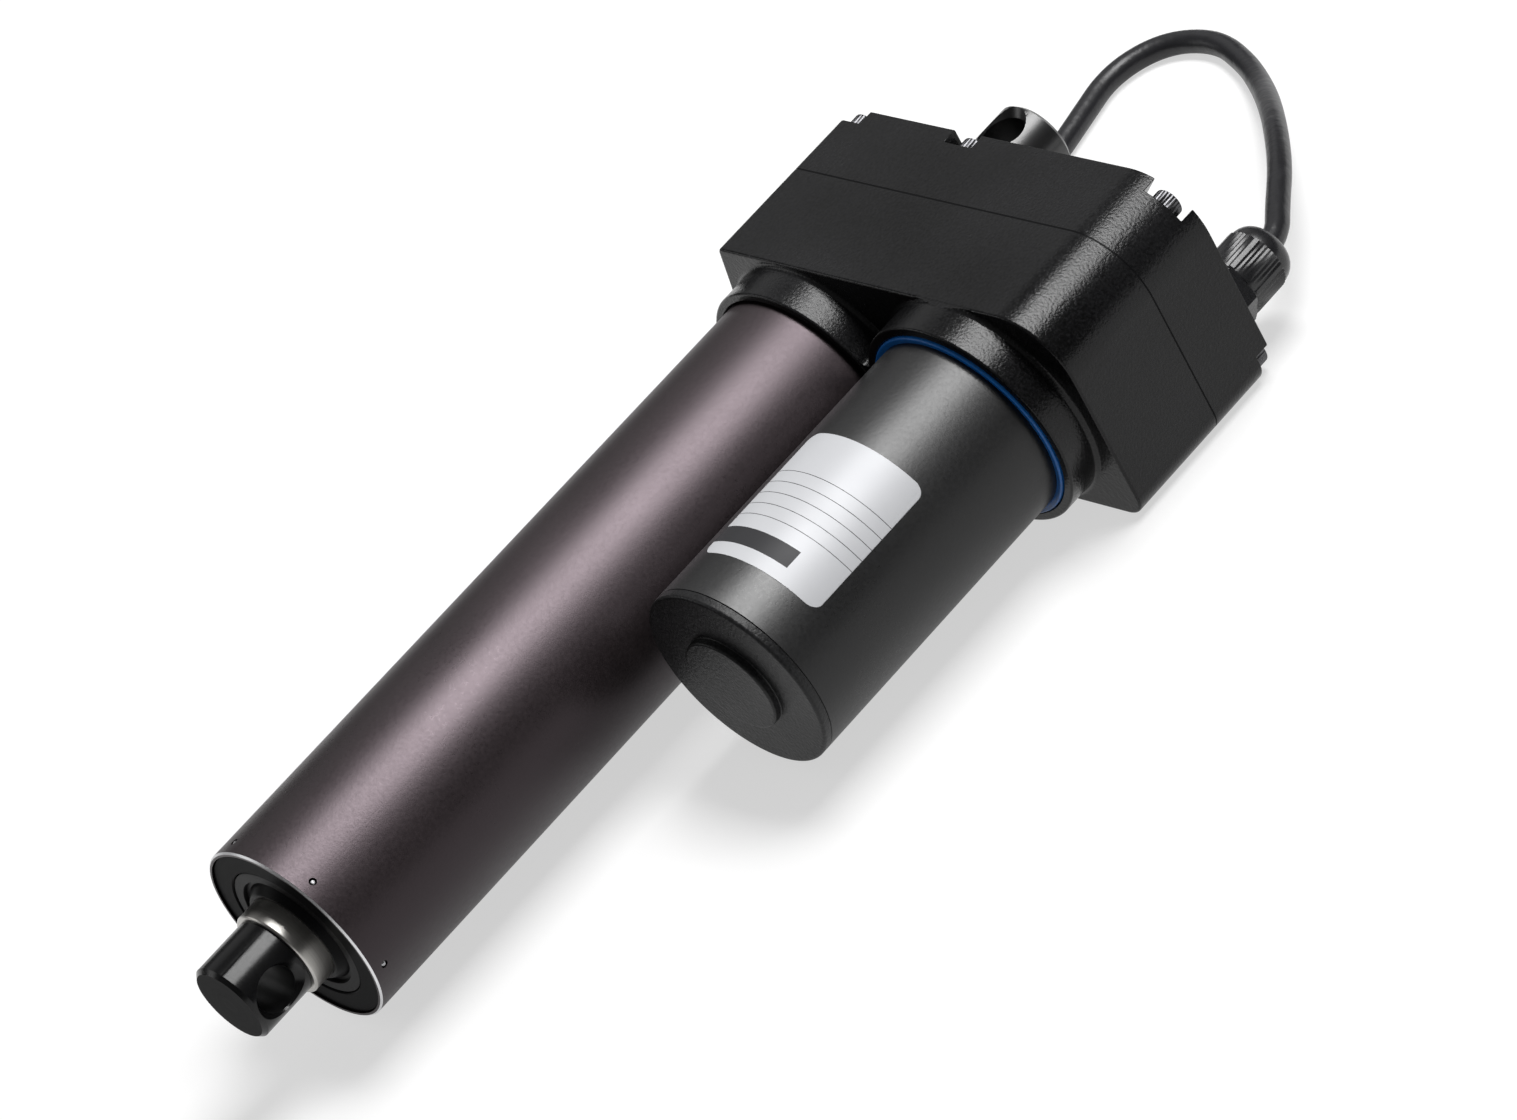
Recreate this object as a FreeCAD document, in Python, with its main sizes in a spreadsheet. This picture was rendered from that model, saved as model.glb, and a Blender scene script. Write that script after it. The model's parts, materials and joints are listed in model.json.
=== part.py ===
import FreeCAD, Part
import math
import os

import Sketcher
from FreeCAD import Placement, Rotation, Vector

# Electric linear actuator: motor and screw side by side on one gear case.
# Millimetres. Origin: centre of the rear pin hole. X: along the rod, outwards.
# Y: from the screw axis to the motor axis. Z: up from the flat of the gear case.

SIZES = {
    # overall
    "stroke": 150,
    "dead_length": 180,             # pin hole to pin hole with the rod in, less the stroke
    # eyes at the two ends
    "eye_radius": 12.5,
    "eye_overhang": 9.5,            # pin-hole centre to the end of an eye
    "eye_chamfer": 1.2,
    "pin_hole_radius": 6.5,
    "clevis_reach": 23.5,           # rear pin hole to the rear face of the case
    "clevis_shank_radius": 9,
    "clevis_shank_length": 7.5,
    # gear case
    "cover_depth": 25.5,
    "cover_wall": 7.5,              # takes the thrust of the rear clevis
    "gasket_thickness": 0.5,
    "gasket_inset": 0.4,
    "case_wall": 6,                 # front wall
    "side_wall": 5,
    "collar_wall": 3,               # round the cover tube and round the motor's seal
    "collar_drop": 0.1,             # a collar below the flat of the case
    "motor_side_wall": 5.1,         # motor collar to the case's outer side
    "screw_side_wall": 3,           # tube collar to the tip of the V-shaped end
    "slant": 9.5,                   # how far the V falls back at top and bottom
    "shoulder_radius": 20,          # round upper corner on the motor side
    "foot_radius": 7,               # lower corner on the motor side
    "corner_radius": 2,
    "tip_radius": 8,                # tip of the V
    "collar_reach": 11,
    "collar_edge": 0.8,
    # cover screws
    "screw_inset": 6,               # screw axis to the nearest outer face
    "screw_radius": 2.5,
    "screw_length": 34,
    "screw_head_radius": 4.25,
    "screw_head_height": 5,
    "screw_socket_width": 4,        # across flats
    "screw_socket_depth": 2.5,
    "screw_play": 0.25,             # clearance hole over the thread
    "screw_boss_radius": 4.2,
    "pocket_depth": 5,              # recess for a screw head
    "pocket_half_width": 5.4,
    "corner_pocket_half_width": 6.5,
    "mid_screw_offset": 21.6,       # screw axis to the middle pair of screws
    "end_screw_offset": 23,         # screw axis to the pair near the V
    "end_pocket_wall": 18.5,        # screw axis to the wall of their recesses
    # cover tube and front cap
    "tube_radius": 30,
    "tube_wall": 3,
    "tube_gap": 5,                  # cover tube to the motor
    "tube_seat": 6.5,               # depth of the tube in its collar
    "tube_chamfer": 0.8,
    "tube_reach": 17,               # tube rim to rod-end pin hole, rod in
    "cap_seat_depth": 7,
    "cap_seat_wall": 1.2,
    "cap_recess": 0.6,              # face of the cap below the tube's rim
    "cap_length": 28.4,
    "cap_web": 2.5,                 # lip between guide bush and wiper
    "cap_web_gap": 0.5,             # rod to that lip
    "cap_pin_radius": 0.9,
    "cap_pin_length": 3,
    "cap_pin_back": 4.4,            # from the tube's rim
    "wiper_radius": 22,
    "wiper_length": 4,
    "wiper_lip_reach": 3,
    "wiper_tip_proud": 1.2,         # lip beyond the face of the cap
    "wiper_tip_wall": 1.1,
    "wiper_tip_length": 1.5,        # part of the lip that touches the rod
    "wiper_relief": 0.8,            # gap behind the lip
    "bush_wall": 1.9,
    "ring_groove_depth": 1.9,
    "ring_groove_width": 3,
    "ring_groove_back": 6,          # from the inner end of the cap
    "tube_ring_depth": 1.2,
    "tube_ring_width": 2.4,
    # push rod and nut
    "rod_radius": 14,
    "rod_bore_gap": 1,              # ball screw to the bore of the rod
    "rod_chamfer": 1,
    "rod_ring": 9.4,                # end of the rod tube to the rod-end pin hole
    "rod_plug_length": 22,
    "nut_back": 7,                  # seat of the tube to the nut, rod in
    "nut_length": 36,
    "nut_radius": 20,
    "rod_socket_depth": 14,
    "guide_ring_width": 10,
    "guide_ring_back": 4,           # from the rear of the nut
    "guide_ring_depth": 1.5,
    "guide_play": 0.3,
    # ball screw and its bearing
    "screw_shaft_radius": 10,
    "screw_tip_short": 30,          # tip of the screw behind the tube's rim
    "screw_tip_chamfer": 1,
    "screw_shoulder_height": 3,
    "screw_shoulder_width": 3,
    "journal_radius": 7.5,
    "bearing_radius": 23.5,
    "bearing_width": 14,
    "race_wall": 4,
    "ball_radius": 4,
    "ring_nut_step": 1.5,           # ring nut wider than the bearing
    "ring_nut_bore": 17,
    "ring_nut_width": 4,
    "bearing_lip": 2,
    "bearing_lip_height": 3.5,
    "bearing_boss_wall": 4,
    "run_play": 0.05,               # radial play of a running fit
    "fit_play": 0.02,               # radial play of a seated fit
    "rear_bush_wall": 3,
    "rear_bush_length": 9,
    "rear_boss_radius": 15,
    # gear train
    "backlash": 0.14,               # taken off each tooth's thickness
    "lock_nut_gap": 0.5,            # rear bush to the lock nut
    "lock_nut_width": 5.5,
    "lock_nut_radius": 12,
    "output_gear_width": 11,
    "stage_gap": 2,
    "gear_gap": 1,                  # idler gear to the bearing boss
    "gear_clearance": 2,            # output gear to the walls of the case
    "idler_gear_width": 8,
    "motor_pinion_width": 10,
    "pinion_overlap": 1,            # a pinion beyond the gear it drives
    "spacer_wall": 1.7,
    "spacer_flange_radius": 13,
    "spacer_flange_width": 2,
    "key_width": 5,
    "key_height": 5,
    "key_depth": 3,                 # key sunk in the shaft
    "idler_axle_radius": 4,
    "idler_axle_hold": 5,           # length pressed into each half of the case
    "idler_bush_wall": 1,
    "idler_boss_radius": 8,
    "idler_end_play": 0.3,
    # motor
    "motor_radius": 30,
    "motor_wall": 2.5,
    "motor_seat": 9.5,              # collar mouth to the motor's seat
    "motor_length": 107,            # can
    "motor_cap_rim": 3,
    "motor_cap_edge": 0.8,
    "motor_cap_spigot": 8,
    "motor_cap_wall": 3,
    "motor_nub_radius": 15.3,
    "motor_nub_height": 2.5,
    "motor_nub_wall": 1.7,
    "motor_seal_wall": 1.9,
    "motor_seal_length": 7.2,
    "motor_seal_proud": 0.7,
    "motor_shaft_radius": 4,
    "motor_shaft_end_radius": 3,
    "motor_bearing_radius": 11,
    "motor_bearing_width": 7,
    "motor_flange_thickness": 5,
    "motor_boss_radius": 14,
    "motor_boss_length": 8,
    "motor_screw_circle": 20,
    "motor_screw_length": 12,
    "magnet_wall": 6.4,
    "magnet_length": 56,
    "magnet_start": 14,             # from the motor's seat to magnets
    "air_gap": 0.7,
    "core_slot_width": 4.2,
    "core_slot_depth": 9,
    "winding_play": 0.2,
    "winding_overhang": 7,
    "commutator_radius": 9,
    "commutator_length": 11,
    "commutator_gap": 9,            # windings to commutator
    "brush_plate_thickness": 3,
    "brush_plate_bore": 12,
    "brush_width": 6,
    "brush_length": 8,              # along the shaft
    "brush_reach": 14,              # radial
    "brush_holder_wall": 1.5,
    "brush_play": 0.1,
    # terminal board in the cover
    "board_thickness": 1.6,
    "board_width": 28,
    "board_height": 34,
    "board_stand": 9,               # height of its posts
    "board_offset": 18,             # motor axis to the board's middle
    "board_post_radius": 3,
    "board_post_inset": 3.5,
    "board_screw_radius": 1.25,
    "board_screw_head_radius": 2.4,
    "board_screw_head_height": 1.6,
    "board_screw_length": 6,
    "block_width": 10,
    "block_depth": 6.5,
    "inner_wire_radius": 0.8,
    # cable gland and lead
    "gland_offset": 27,             # motor axis to gland axis
    "gland_drop": 13.3,             # gland axis below the motor axis
    "gland_thread_radius": 8,
    "gland_thread_length": 7.5,
    "gland_hex_radius": 11,         # across the corners
    "gland_hex_height": 6,
    "gland_nut_radius": 10.1,
    "gland_nut_rim": 10,
    "gland_dome_height": 8,
    "gland_mouth_radius": 4.2,
    "gland_bore_radius": 5,
    "cable_radius": 3.5,
    "hank_fold_radius": 21,         # middle of the cable at a fold
    "hank_straight": 105,
    "hank_flat": 3,                 # flat where the lead joins the hank
    "strap_thickness": 0.8,
    "strap_width": 10,
    "core_wire_radius": 1.1,
    "core_wire_length": 26,
    "core_wire_pitch": 4,
}

# Counts and angles
OUTPUT_STAGE_SHARE = 7 / 13      # of the distance from the screw axis to the motor axis
MOTOR_TEETH = 12
IDLER_TEETH = 48
IDLER_PINION_TEETH = 14
OUTPUT_TEETH = 42
PRESSURE_ANGLE = 25
CORE_SLOTS = 12
MAGNET_SPAN = 140
CAP_PINS = 6
FIRST_PIN_ANGLE = -11
GROOVE_SHARE = 0.76              # half width of a ball groove to the ball radius
HANK_LAYERS = 2

doc = FreeCAD.newDocument("LinearActuator")
sheet = doc.addObject("Spreadsheet::Sheet", "Sizes")


class Length:
    """A number together with the sheet formula that gives it."""

    def __init__(self, number, text):
        self.number = float(number)
        self.text = text

    def __add__(self, other):
        other = length(other)
        return Length(self.number + other.number, f"({self.text} + {other.text})")

    def __sub__(self, other):
        other = length(other)
        return Length(self.number - other.number, f"({self.text} - {other.text})")

    def __mul__(self, other):
        other = length(other)
        return Length(self.number * other.number, f"({self.text} * {other.text})")

    def __truediv__(self, other):
        other = length(other)
        return Length(self.number / other.number, f"({self.text} / {other.text})")

    def __neg__(self):
        return Length(-self.number, f"(0 - {self.text})")

    __radd__ = __add__
    __rmul__ = __mul__


def length(value):
    """Take a plain number as a Length."""
    return value if isinstance(value, Length) else Length(value, repr(value))


def largest(*values):
    """The largest of several lengths, as the sheet works it out."""
    values = [length(value) for value in values]
    texts = "; ".join(value.text for value in values)
    return Length(max(value.number for value in values), f"max({texts})")


class Sheet:
    """The driving dimensions, one attribute for each aliased cell."""

    def __init__(self, sizes):
        for row, (name, number) in enumerate(sizes.items(), start=1):
            sheet.set(f"A{row}", name)
            sheet.set(f"B{row}", str(number))
            sheet.setAlias(f"B{row}", name)
        doc.recompute()
        for name in sizes:
            setattr(self, name, Length(sheet.get(name), f"Sizes.{name}"))


size = Sheet(SIZES)

# Stations along X, from the rear pin hole
pin_distance = size.dead_length + size.stroke
rear_face = size.clevis_reach
cover_floor = rear_face + size.cover_wall
screw_seat = rear_face + size.pocket_depth
parting = rear_face + size.cover_depth
case_start = parting + size.gasket_thickness
tube_front = pin_distance - size.tube_reach
cap_seat = tube_front - size.cap_seat_depth
cap_front = tube_front - size.cap_recess
cap_rear = cap_front - size.cap_length
clevis_end = rear_face + size.clevis_shank_length
rear_bush_end = clevis_end + size.rear_bush_length
lock_nut_start = rear_bush_end + size.lock_nut_gap
output_gear_start = lock_nut_start + size.lock_nut_width
output_gear_end = output_gear_start + size.output_gear_width
idler_gear_start = output_gear_end + size.stage_gap
idler_gear_end = idler_gear_start + size.idler_gear_width
boss_start = idler_gear_end + size.gear_gap
bearing_start = boss_start + size.bearing_lip
bearing_end = bearing_start + size.bearing_width
tube_start = bearing_end + size.ring_nut_width
collar_front = tube_start + size.tube_seat
front_face = collar_front - size.collar_reach
case_floor = front_face - size.case_wall
case_depth = front_face - case_start
rod_front = pin_distance - size.rod_ring
nut_start = tube_start + size.nut_back
nut_end = nut_start + size.nut_length
rod_start = nut_end - size.rod_socket_depth
guide_ring_start = nut_start + size.guide_ring_back
screw_tip = tube_front - size.screw_tip_short
motor_seat = collar_front - size.motor_seat
motor_end = motor_seat + size.motor_length
motor_face = motor_end + size.motor_cap_rim
nub_face = motor_face + size.motor_nub_height
magnet_start = motor_seat + size.magnet_start
magnet_end = magnet_start + size.magnet_length
commutator_start = magnet_end + size.winding_overhang + size.commutator_gap - size.brush_plate_thickness
commutator_end = commutator_start + size.commutator_length

# Axes in Y
motor_y = size.tube_radius + size.motor_radius + size.tube_gap
idler_y = motor_y * OUTPUT_STAGE_SHARE
output_module = idler_y * 2 / (OUTPUT_TEETH + IDLER_PINION_TEETH)
motor_module = (motor_y - idler_y) * 2 / (IDLER_TEETH + MOTOR_TEETH)

# Radii and heights that pieces share
tube_bore = size.tube_radius - size.tube_wall
cap_seat_radius = size.tube_radius - size.cap_seat_wall
bush_radius = size.rod_radius + size.bush_wall
motor_bore = size.motor_radius - size.motor_wall
seal_radius = size.motor_radius + size.motor_seal_wall
motor_collar = seal_radius + size.collar_wall
tube_collar = size.tube_radius + size.collar_wall
output_gear_radius = output_module * (OUTPUT_TEETH / 2 + 1)
case_half_height = largest(
    motor_collar + size.collar_drop,
    tube_collar + size.collar_drop,
    output_gear_radius + size.gear_clearance + size.side_wall,
)
case_side = motor_y + motor_collar + size.motor_side_wall
case_tip = tube_collar + size.screw_side_wall
ring_nut_radius = size.bearing_radius + size.ring_nut_step
bearing_lip_bore = size.bearing_radius - size.bearing_lip_height
rod_bore = size.screw_shaft_radius + size.rod_bore_gap
core_radius = motor_bore - size.magnet_wall - size.air_gap
magnet_inner = motor_bore - size.magnet_wall

NODES = []


def node(label, item):
    """Keep a document object as a sub-part of the actuator."""
    item.Label = label
    NODES.append(item)
    return item


def bind(item, path, value):
    """Bind one property of an object to the sheet."""
    item.setExpression(path, length(value).text)


def place(item, x=0, y=0, z=0, turn=None):
    """Put an object at a point given by sheet formulas."""
    item.Placement = Placement(Vector(0, 0, 0), turn or Rotation())
    for axis, value in zip("xyz", (x, y, z)):
        bind(item, f"Placement.Base.{axis}", value)
    return item


def new_body(name):
    return doc.addObject("PartDesign::Body", name)


def new_sketch(body, plane, shift=(0, 0, 0)):
    """A sketch on one of the body's own origin planes, shifted in that plane's axes."""
    sketch = body.newObject("Sketcher::SketchObject", f"{body.Name}_sketch")
    support = [item for item in body.Origin.OriginFeatures if item.Role == plane]
    sketch.AttachmentSupport = [(support[0], "")]
    sketch.MapMode = "FlatFace"
    for axis, value in zip("xyz", shift):
        bind(sketch, f"AttachmentOffset.Base.{axis}", value)
    return sketch


def hold_point(sketch, item, point, corner):
    """Hold a point of a sketch at its distances from the sketch's own axes."""
    for axis, kind, value in ((-2, "DistanceX", corner[0]), (-1, "DistanceY", corner[1])):
        value = length(value)
        if value.text == "0":
            sketch.addConstraint(Sketcher.Constraint("PointOnObject", item, point, axis))
            continue
        ends = (-1, 1, item, point)
        if value.number < 0:
            ends = (item, point, -1, 1)
            value = -value
        index = sketch.addConstraint(Sketcher.Constraint(kind, *ends, value.number))
        bind(sketch, f"Constraints[{index}]", value)


def draw_outline(sketch, corners):
    """Draw a closed outline of straight lines through the corners."""
    points = [Vector(length(a).number, length(b).number, 0) for a, b in corners]
    first = sketch.GeometryCount
    count = len(points)
    for index in range(count):
        line = Part.LineSegment(points[index], points[(index + 1) % count])
        sketch.addGeometry(line, False)
    for index in range(count):
        following = first + (index + 1) % count
        sketch.addConstraint(Sketcher.Constraint("Coincident", first + index, 2, following, 1))
    for index, corner in enumerate(corners):
        hold_point(sketch, first + index, 1, corner)


def draw_circle(sketch, centre, radius):
    """Draw a circle with its centre and radius bound to the sheet."""
    middle = Vector(length(centre[0]).number, length(centre[1]).number, 0)
    circle = Part.Circle(middle, Vector(0, 0, 1), length(radius).number)
    item = sketch.addGeometry(circle, False)
    hold_point(sketch, item, 3, centre)
    index = sketch.addConstraint(Sketcher.Constraint("Radius", item, length(radius).number))
    bind(sketch, f"Constraints[{index}]", radius)


def pad(body, sketch, depth):
    """Raise a sketch on a YZ plane towards +X."""
    feature = body.newObject("PartDesign::Pad", f"{body.Name}_pad")
    feature.Profile = sketch
    bind(feature, "Length", depth)
    return feature


def pocket(body, sketch, depth):
    """Sink a sketch on a YZ plane towards +X."""
    feature = body.newObject("PartDesign::Pocket", f"{body.Name}_pocket")
    feature.Profile = sketch
    feature.Reversed = True
    bind(feature, "Length", depth)
    return feature


def spin(body, corners, kind="PartDesign::Revolution", axis_y=0):
    """Turn an outline of (station, radius) corners about an axis along X."""
    sketch = new_sketch(body, "XY_Plane", (0, axis_y, 0))
    draw_outline(sketch, corners)
    feature = body.newObject(kind, f"{body.Name}_turned")
    feature.Profile = sketch
    feature.ReferenceAxis = (sketch, ["H_Axis"])
    feature.Angle = 360
    return feature


def turned(name, corners, y=0, z=0):
    """A turned piece on an axis along X."""
    body = new_body(name)
    spin(body, corners)
    return place(body, 0, y, z)


def tube(start, end, inner, outer):
    """Corners of a plain ring or sleeve."""
    return [(start, inner), (start, outer), (end, outer), (end, inner)]


def circles(body, station, centres, radius):
    """A sketch of equal circles on a plane across X."""
    sketch = new_sketch(body, "YZ_Plane", (0, 0, station))
    for centre in centres:
        draw_circle(sketch, centre, radius)
    return sketch


def rounded(body, feature, places, radius):
    """Round the edges along X that stand at the given (y, z) places."""
    doc.recompute()
    names = []
    for number, edge in enumerate(feature.Shape.Edges, start=1):
        start, end = edge.firstVertex().Point, edge.lastVertex().Point
        along = abs(start.y - end.y) < 1e-6 and abs(start.z - end.z) < 1e-6
        for y, z in places:
            near = math.hypot(start.y - length(y).number, start.z - length(z).number) < 1e-3
            if along and near:
                names.append(f"Edge{number}")
    fillet = body.newObject("PartDesign::Fillet", f"{body.Name}_fillet")
    fillet.Base = (feature, names)
    bind(fillet, "Radius", radius)
    return fillet


def block(name, corner, sides):
    """A rectangular block with its low corner and three sides bound to the sheet."""
    item = doc.addObject("Part::Box", name)
    for path, value in zip(("Length", "Width", "Height"), sides):
        bind(item, path, value)
    return place(item, *corner)


ALONG = {
    "x": Rotation(Vector(0, 1, 0), 90),
    "y": Rotation(Vector(1, 0, 0), -90),
    "z": Rotation(),
}


def rod_shape(name, start, radius, reach, along="x"):
    """A plain cylinder along one axis."""
    item = doc.addObject("Part::Cylinder", name)
    bind(item, "Radius", radius)
    bind(item, "Height", reach)
    return place(item, *start, turn=ALONG[along])


def cut(name, base, *tools):
    """Take tools away from a base, one after another."""
    for tool in tools:
        item = doc.addObject("Part::Cut", f"{name}_cut")
        item.Base = base
        item.Tool = tool
        base = item
    return base


def fuse(name, *items):
    item = doc.addObject("Part::MultiFuse", name)
    item.Shapes = list(items)
    return item


def group(name, shapes):
    """Separate solids that share one node."""
    item = doc.addObject("Part::Feature", name)
    item.Shape = Part.makeCompound(shapes)
    return item


# The gear case

def case_outline(inset):
    """Corners of the case seen along X, drawn in from its outer faces."""
    top = case_half_height - inset
    side = case_side - inset
    tip = -case_tip + inset
    return [(side, -top), (side, top), (tip + size.slant, top), (tip, 0), (tip + size.slant, -top)]


def cavity_outline():
    """Corners of the hollow inside the case, with the round shoulder's wall kept."""
    top = case_half_height - size.side_wall
    side = case_side - size.side_wall
    tip = -case_tip + size.side_wall
    cut_back = size.shoulder_radius - size.side_wall
    return [
        (side, -top),
        (side, top - cut_back),
        (side - cut_back, top),
        (tip + size.slant, top),
        (tip, 0),
        (tip + size.slant, -top),
    ]


def round_case(body, feature, inset):
    """Round the corners of a case outline as the casting has them."""
    low_side, high_side, high_end, tip, low_end = case_outline(inset)
    feature = rounded(body, feature, [high_side], size.shoulder_radius)
    feature = rounded(body, feature, [low_side], size.foot_radius)
    feature = rounded(body, feature, [high_end, low_end], size.corner_radius)
    return rounded(body, feature, [tip], size.tip_radius)


SCREW_TOP = case_half_height - size.screw_inset
DIAGONAL = math.sqrt(0.5)
SHOULDER_SCREW = (
    case_side - size.shoulder_radius + (size.shoulder_radius - size.screw_inset) * DIAGONAL,
    case_half_height - size.shoulder_radius + (size.shoulder_radius - size.screw_inset) * DIAGONAL,
)
FOOT_SCREW = (
    case_side - size.foot_radius + (size.foot_radius - size.screw_inset) * DIAGONAL,
    -case_half_height + size.foot_radius - (size.foot_radius - size.screw_inset) * DIAGONAL,
)
COVER_SCREWS = [
    (-size.end_screw_offset, SCREW_TOP),
    (size.mid_screw_offset, SCREW_TOP),
    SHOULDER_SCREW,
    FOOT_SCREW,
    (size.mid_screw_offset, -SCREW_TOP),
    (-size.end_screw_offset, -SCREW_TOP),
]
MOTOR_SCREWS = [(motor_y, size.motor_screw_circle), (motor_y, -size.motor_screw_circle)]
GLAND = (motor_y + size.gland_offset, -size.gland_drop)
board_middle = motor_y + size.board_offset
post_y = size.board_width / 2 - size.board_post_inset
post_z = size.board_height / 2 - size.board_post_inset
BOARD_POSTS = [
    (board_middle - post_y, post_z),
    (board_middle - post_y, -post_z),
    (board_middle + post_y, post_z),
]


def front_housing():
    """The die-cast gear case with its two collars."""
    body = new_body("front_housing")
    outline = new_sketch(body, "YZ_Plane", (0, 0, case_start))
    draw_outline(outline, case_outline(0))
    shell = pad(body, outline, case_depth)
    round_case(body, shell, 0)
    for y, radius in ((0, tube_collar), (motor_y, motor_collar)):
        pad(body, circles(body, front_face, [(y, 0)], radius), size.collar_reach)
    cavity = new_sketch(body, "YZ_Plane", (0, 0, case_start))
    draw_outline(cavity, cavity_outline())
    pocket(body, cavity, case_floor - case_start)
    bosses = circles(body, case_start, COVER_SCREWS, size.screw_boss_radius)
    pad(body, bosses, case_depth - size.case_wall)
    bearing_boss = size.bearing_radius + size.bearing_boss_wall
    pad(body, circles(body, boss_start, [(0, 0)], bearing_boss), case_floor - boss_start)
    idler_boss = idler_gear_end + size.stage_gap
    pad(body, circles(body, idler_boss, [(idler_y, 0)], size.idler_boss_radius), case_floor - idler_boss)
    play = size.fit_play
    ring_start = collar_front - size.tube_seat / 2
    spin(body, [
        (boss_start - size.bearing_lip, 0),
        (boss_start - size.bearing_lip, bearing_lip_bore),
        (bearing_start, bearing_lip_bore),
        (bearing_start, size.bearing_radius + play),
        (bearing_end, size.bearing_radius + play),
        (bearing_end, ring_nut_radius + play),
        (tube_start, ring_nut_radius + play),
        (tube_start, size.tube_radius + play),
        (ring_start - size.tube_ring_width, size.tube_radius + play),
        (ring_start - size.tube_ring_width, size.tube_radius + size.tube_ring_depth),
        (ring_start, size.tube_radius + size.tube_ring_depth),
        (ring_start, size.tube_radius + play),
        (collar_front - size.collar_edge, size.tube_radius + play),
        (collar_front, size.tube_radius + play + size.collar_edge),
        (collar_front, 0),
    ], "PartDesign::Groove")
    seal_start = collar_front + size.motor_seal_proud - size.motor_seal_length
    spin(body, [
        (boss_start - size.bearing_lip, 0),
        (boss_start - size.bearing_lip, size.motor_boss_radius + play),
        (motor_seat, size.motor_boss_radius + play),
        (motor_seat, size.motor_radius + play),
        (seal_start, size.motor_radius + play),
        (seal_start, seal_radius + play),
        (collar_front, seal_radius + play),
        (collar_front, 0),
    ], "PartDesign::Groove", motor_y)
    thread = size.screw_radius + size.fit_play
    screw_reach = screw_seat + size.screw_length - case_start
    pocket(body, circles(body, case_start, COVER_SCREWS, thread), screw_reach + size.screw_play)
    axle_hole = size.idler_axle_radius + play
    pocket(body, circles(body, idler_boss, [(idler_y, 0)], axle_hole), size.idler_axle_hold)
    motor_hole = size.screw_radius + size.screw_play
    pocket(body, circles(body, case_floor, MOTOR_SCREWS, motor_hole), motor_seat - case_floor)
    return body


def screw_pockets():
    """The recesses that the screw heads sit in, open at the rear face."""
    reach = case_half_height
    deep = size.pocket_depth
    low = SCREW_TOP - size.pocket_half_width
    blocks = []
    for side in (1, -1):
        bottom = low if side > 0 else -low - reach
        middle = size.mid_screw_offset - size.pocket_half_width
        width = size.pocket_half_width * 2
        blocks.append(block("mid_pocket", (rear_face, middle, bottom), (deep, width, reach)))
        start = -size.end_pocket_wall - reach
        blocks.append(block("end_pocket", (rear_face, start, bottom), (deep, reach, reach)))
    for (y, z), turn in ((SHOULDER_SCREW, 45), (FOOT_SCREW, -45)):
        blocks.append(corner_pocket(y, z, turn))
    return fuse("screw_pockets", *blocks)


def corner_pocket(y, z, turn):
    """A recess that runs out through a corner of the case, slantwise."""
    item = doc.addObject("Part::Box", "corner_pocket")
    half = size.corner_pocket_half_width
    bind(item, "Length", size.pocket_depth)
    bind(item, "Width", case_half_height)
    bind(item, "Height", half * 2)
    cosine = math.cos(math.radians(turn))
    sine = math.sin(math.radians(turn))
    low_y = y - half * cosine + half * sine
    low_z = z - half * sine - half * cosine
    return place(item, rear_face, low_y, low_z, turn=Rotation(Vector(1, 0, 0), turn))


def rear_cover():
    """The die-cast cover with the clevis seat, screw pockets and gland hole."""
    body = new_body("cover_casting")
    outline = new_sketch(body, "YZ_Plane", (0, 0, rear_face))
    draw_outline(outline, case_outline(0))
    shell = pad(body, outline, size.cover_depth)
    round_case(body, shell, 0)
    cavity = new_sketch(body, "YZ_Plane", (0, 0, cover_floor))
    draw_outline(cavity, cavity_outline())
    pocket(body, cavity, size.cover_depth - size.cover_wall)
    bosses = circles(body, cover_floor, COVER_SCREWS, size.screw_boss_radius)
    pad(body, bosses, size.cover_depth - size.cover_wall)
    pad(body, circles(body, cover_floor, [(0, 0)], size.rear_boss_radius), rear_bush_end - cover_floor)
    idler_boss = circles(body, cover_floor, [(idler_y, 0)], size.idler_boss_radius)
    pad(body, idler_boss, rear_bush_end - cover_floor)
    pad(body, circles(body, cover_floor, BOARD_POSTS, size.board_post_radius), size.board_stand)
    play = size.fit_play
    bush = size.journal_radius + size.rear_bush_wall
    spin(body, [
        (rear_face, 0),
        (rear_face, size.clevis_shank_radius + play),
        (clevis_end, size.clevis_shank_radius + play),
        (clevis_end, bush + play),
        (rear_bush_end, bush + play),
        (rear_bush_end, 0),
    ], "PartDesign::Groove")
    hole = size.screw_radius + size.screw_play
    pocket(body, circles(body, rear_face, COVER_SCREWS, hole), size.cover_depth)
    axle_start = rear_bush_end - size.idler_axle_hold
    axle_hole = size.idler_axle_radius + play
    pocket(body, circles(body, axle_start, [(idler_y, 0)], axle_hole), size.idler_axle_hold)
    gland_hole = size.gland_thread_radius + play
    pocket(body, circles(body, rear_face, [GLAND], gland_hole), size.cover_wall)
    post_top = cover_floor + size.board_stand
    thread = size.board_screw_radius + play
    thread_depth = size.board_screw_length - size.board_thickness
    pocket(body, circles(body, post_top - thread_depth, BOARD_POSTS, thread), thread_depth)
    return cut("rear_cover", body, screw_pockets())


def housing_gasket():
    """The thin seal between the two halves of the case."""
    body = new_body("housing_gasket")
    outline = new_sketch(body, "YZ_Plane", (0, 0, parting))
    draw_outline(outline, case_outline(size.gasket_inset))
    sheet_pad = pad(body, outline, size.gasket_thickness)
    round_case(body, sheet_pad, size.gasket_inset)
    cavity = new_sketch(body, "YZ_Plane", (0, 0, parting))
    draw_outline(cavity, cavity_outline())
    pocket(body, cavity, size.gasket_thickness)
    pad(body, circles(body, parting, COVER_SCREWS, size.screw_boss_radius), size.gasket_thickness)
    hole = size.screw_radius + size.screw_play
    pocket(body, circles(body, parting, COVER_SCREWS, hole), size.gasket_thickness)
    return body


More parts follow.
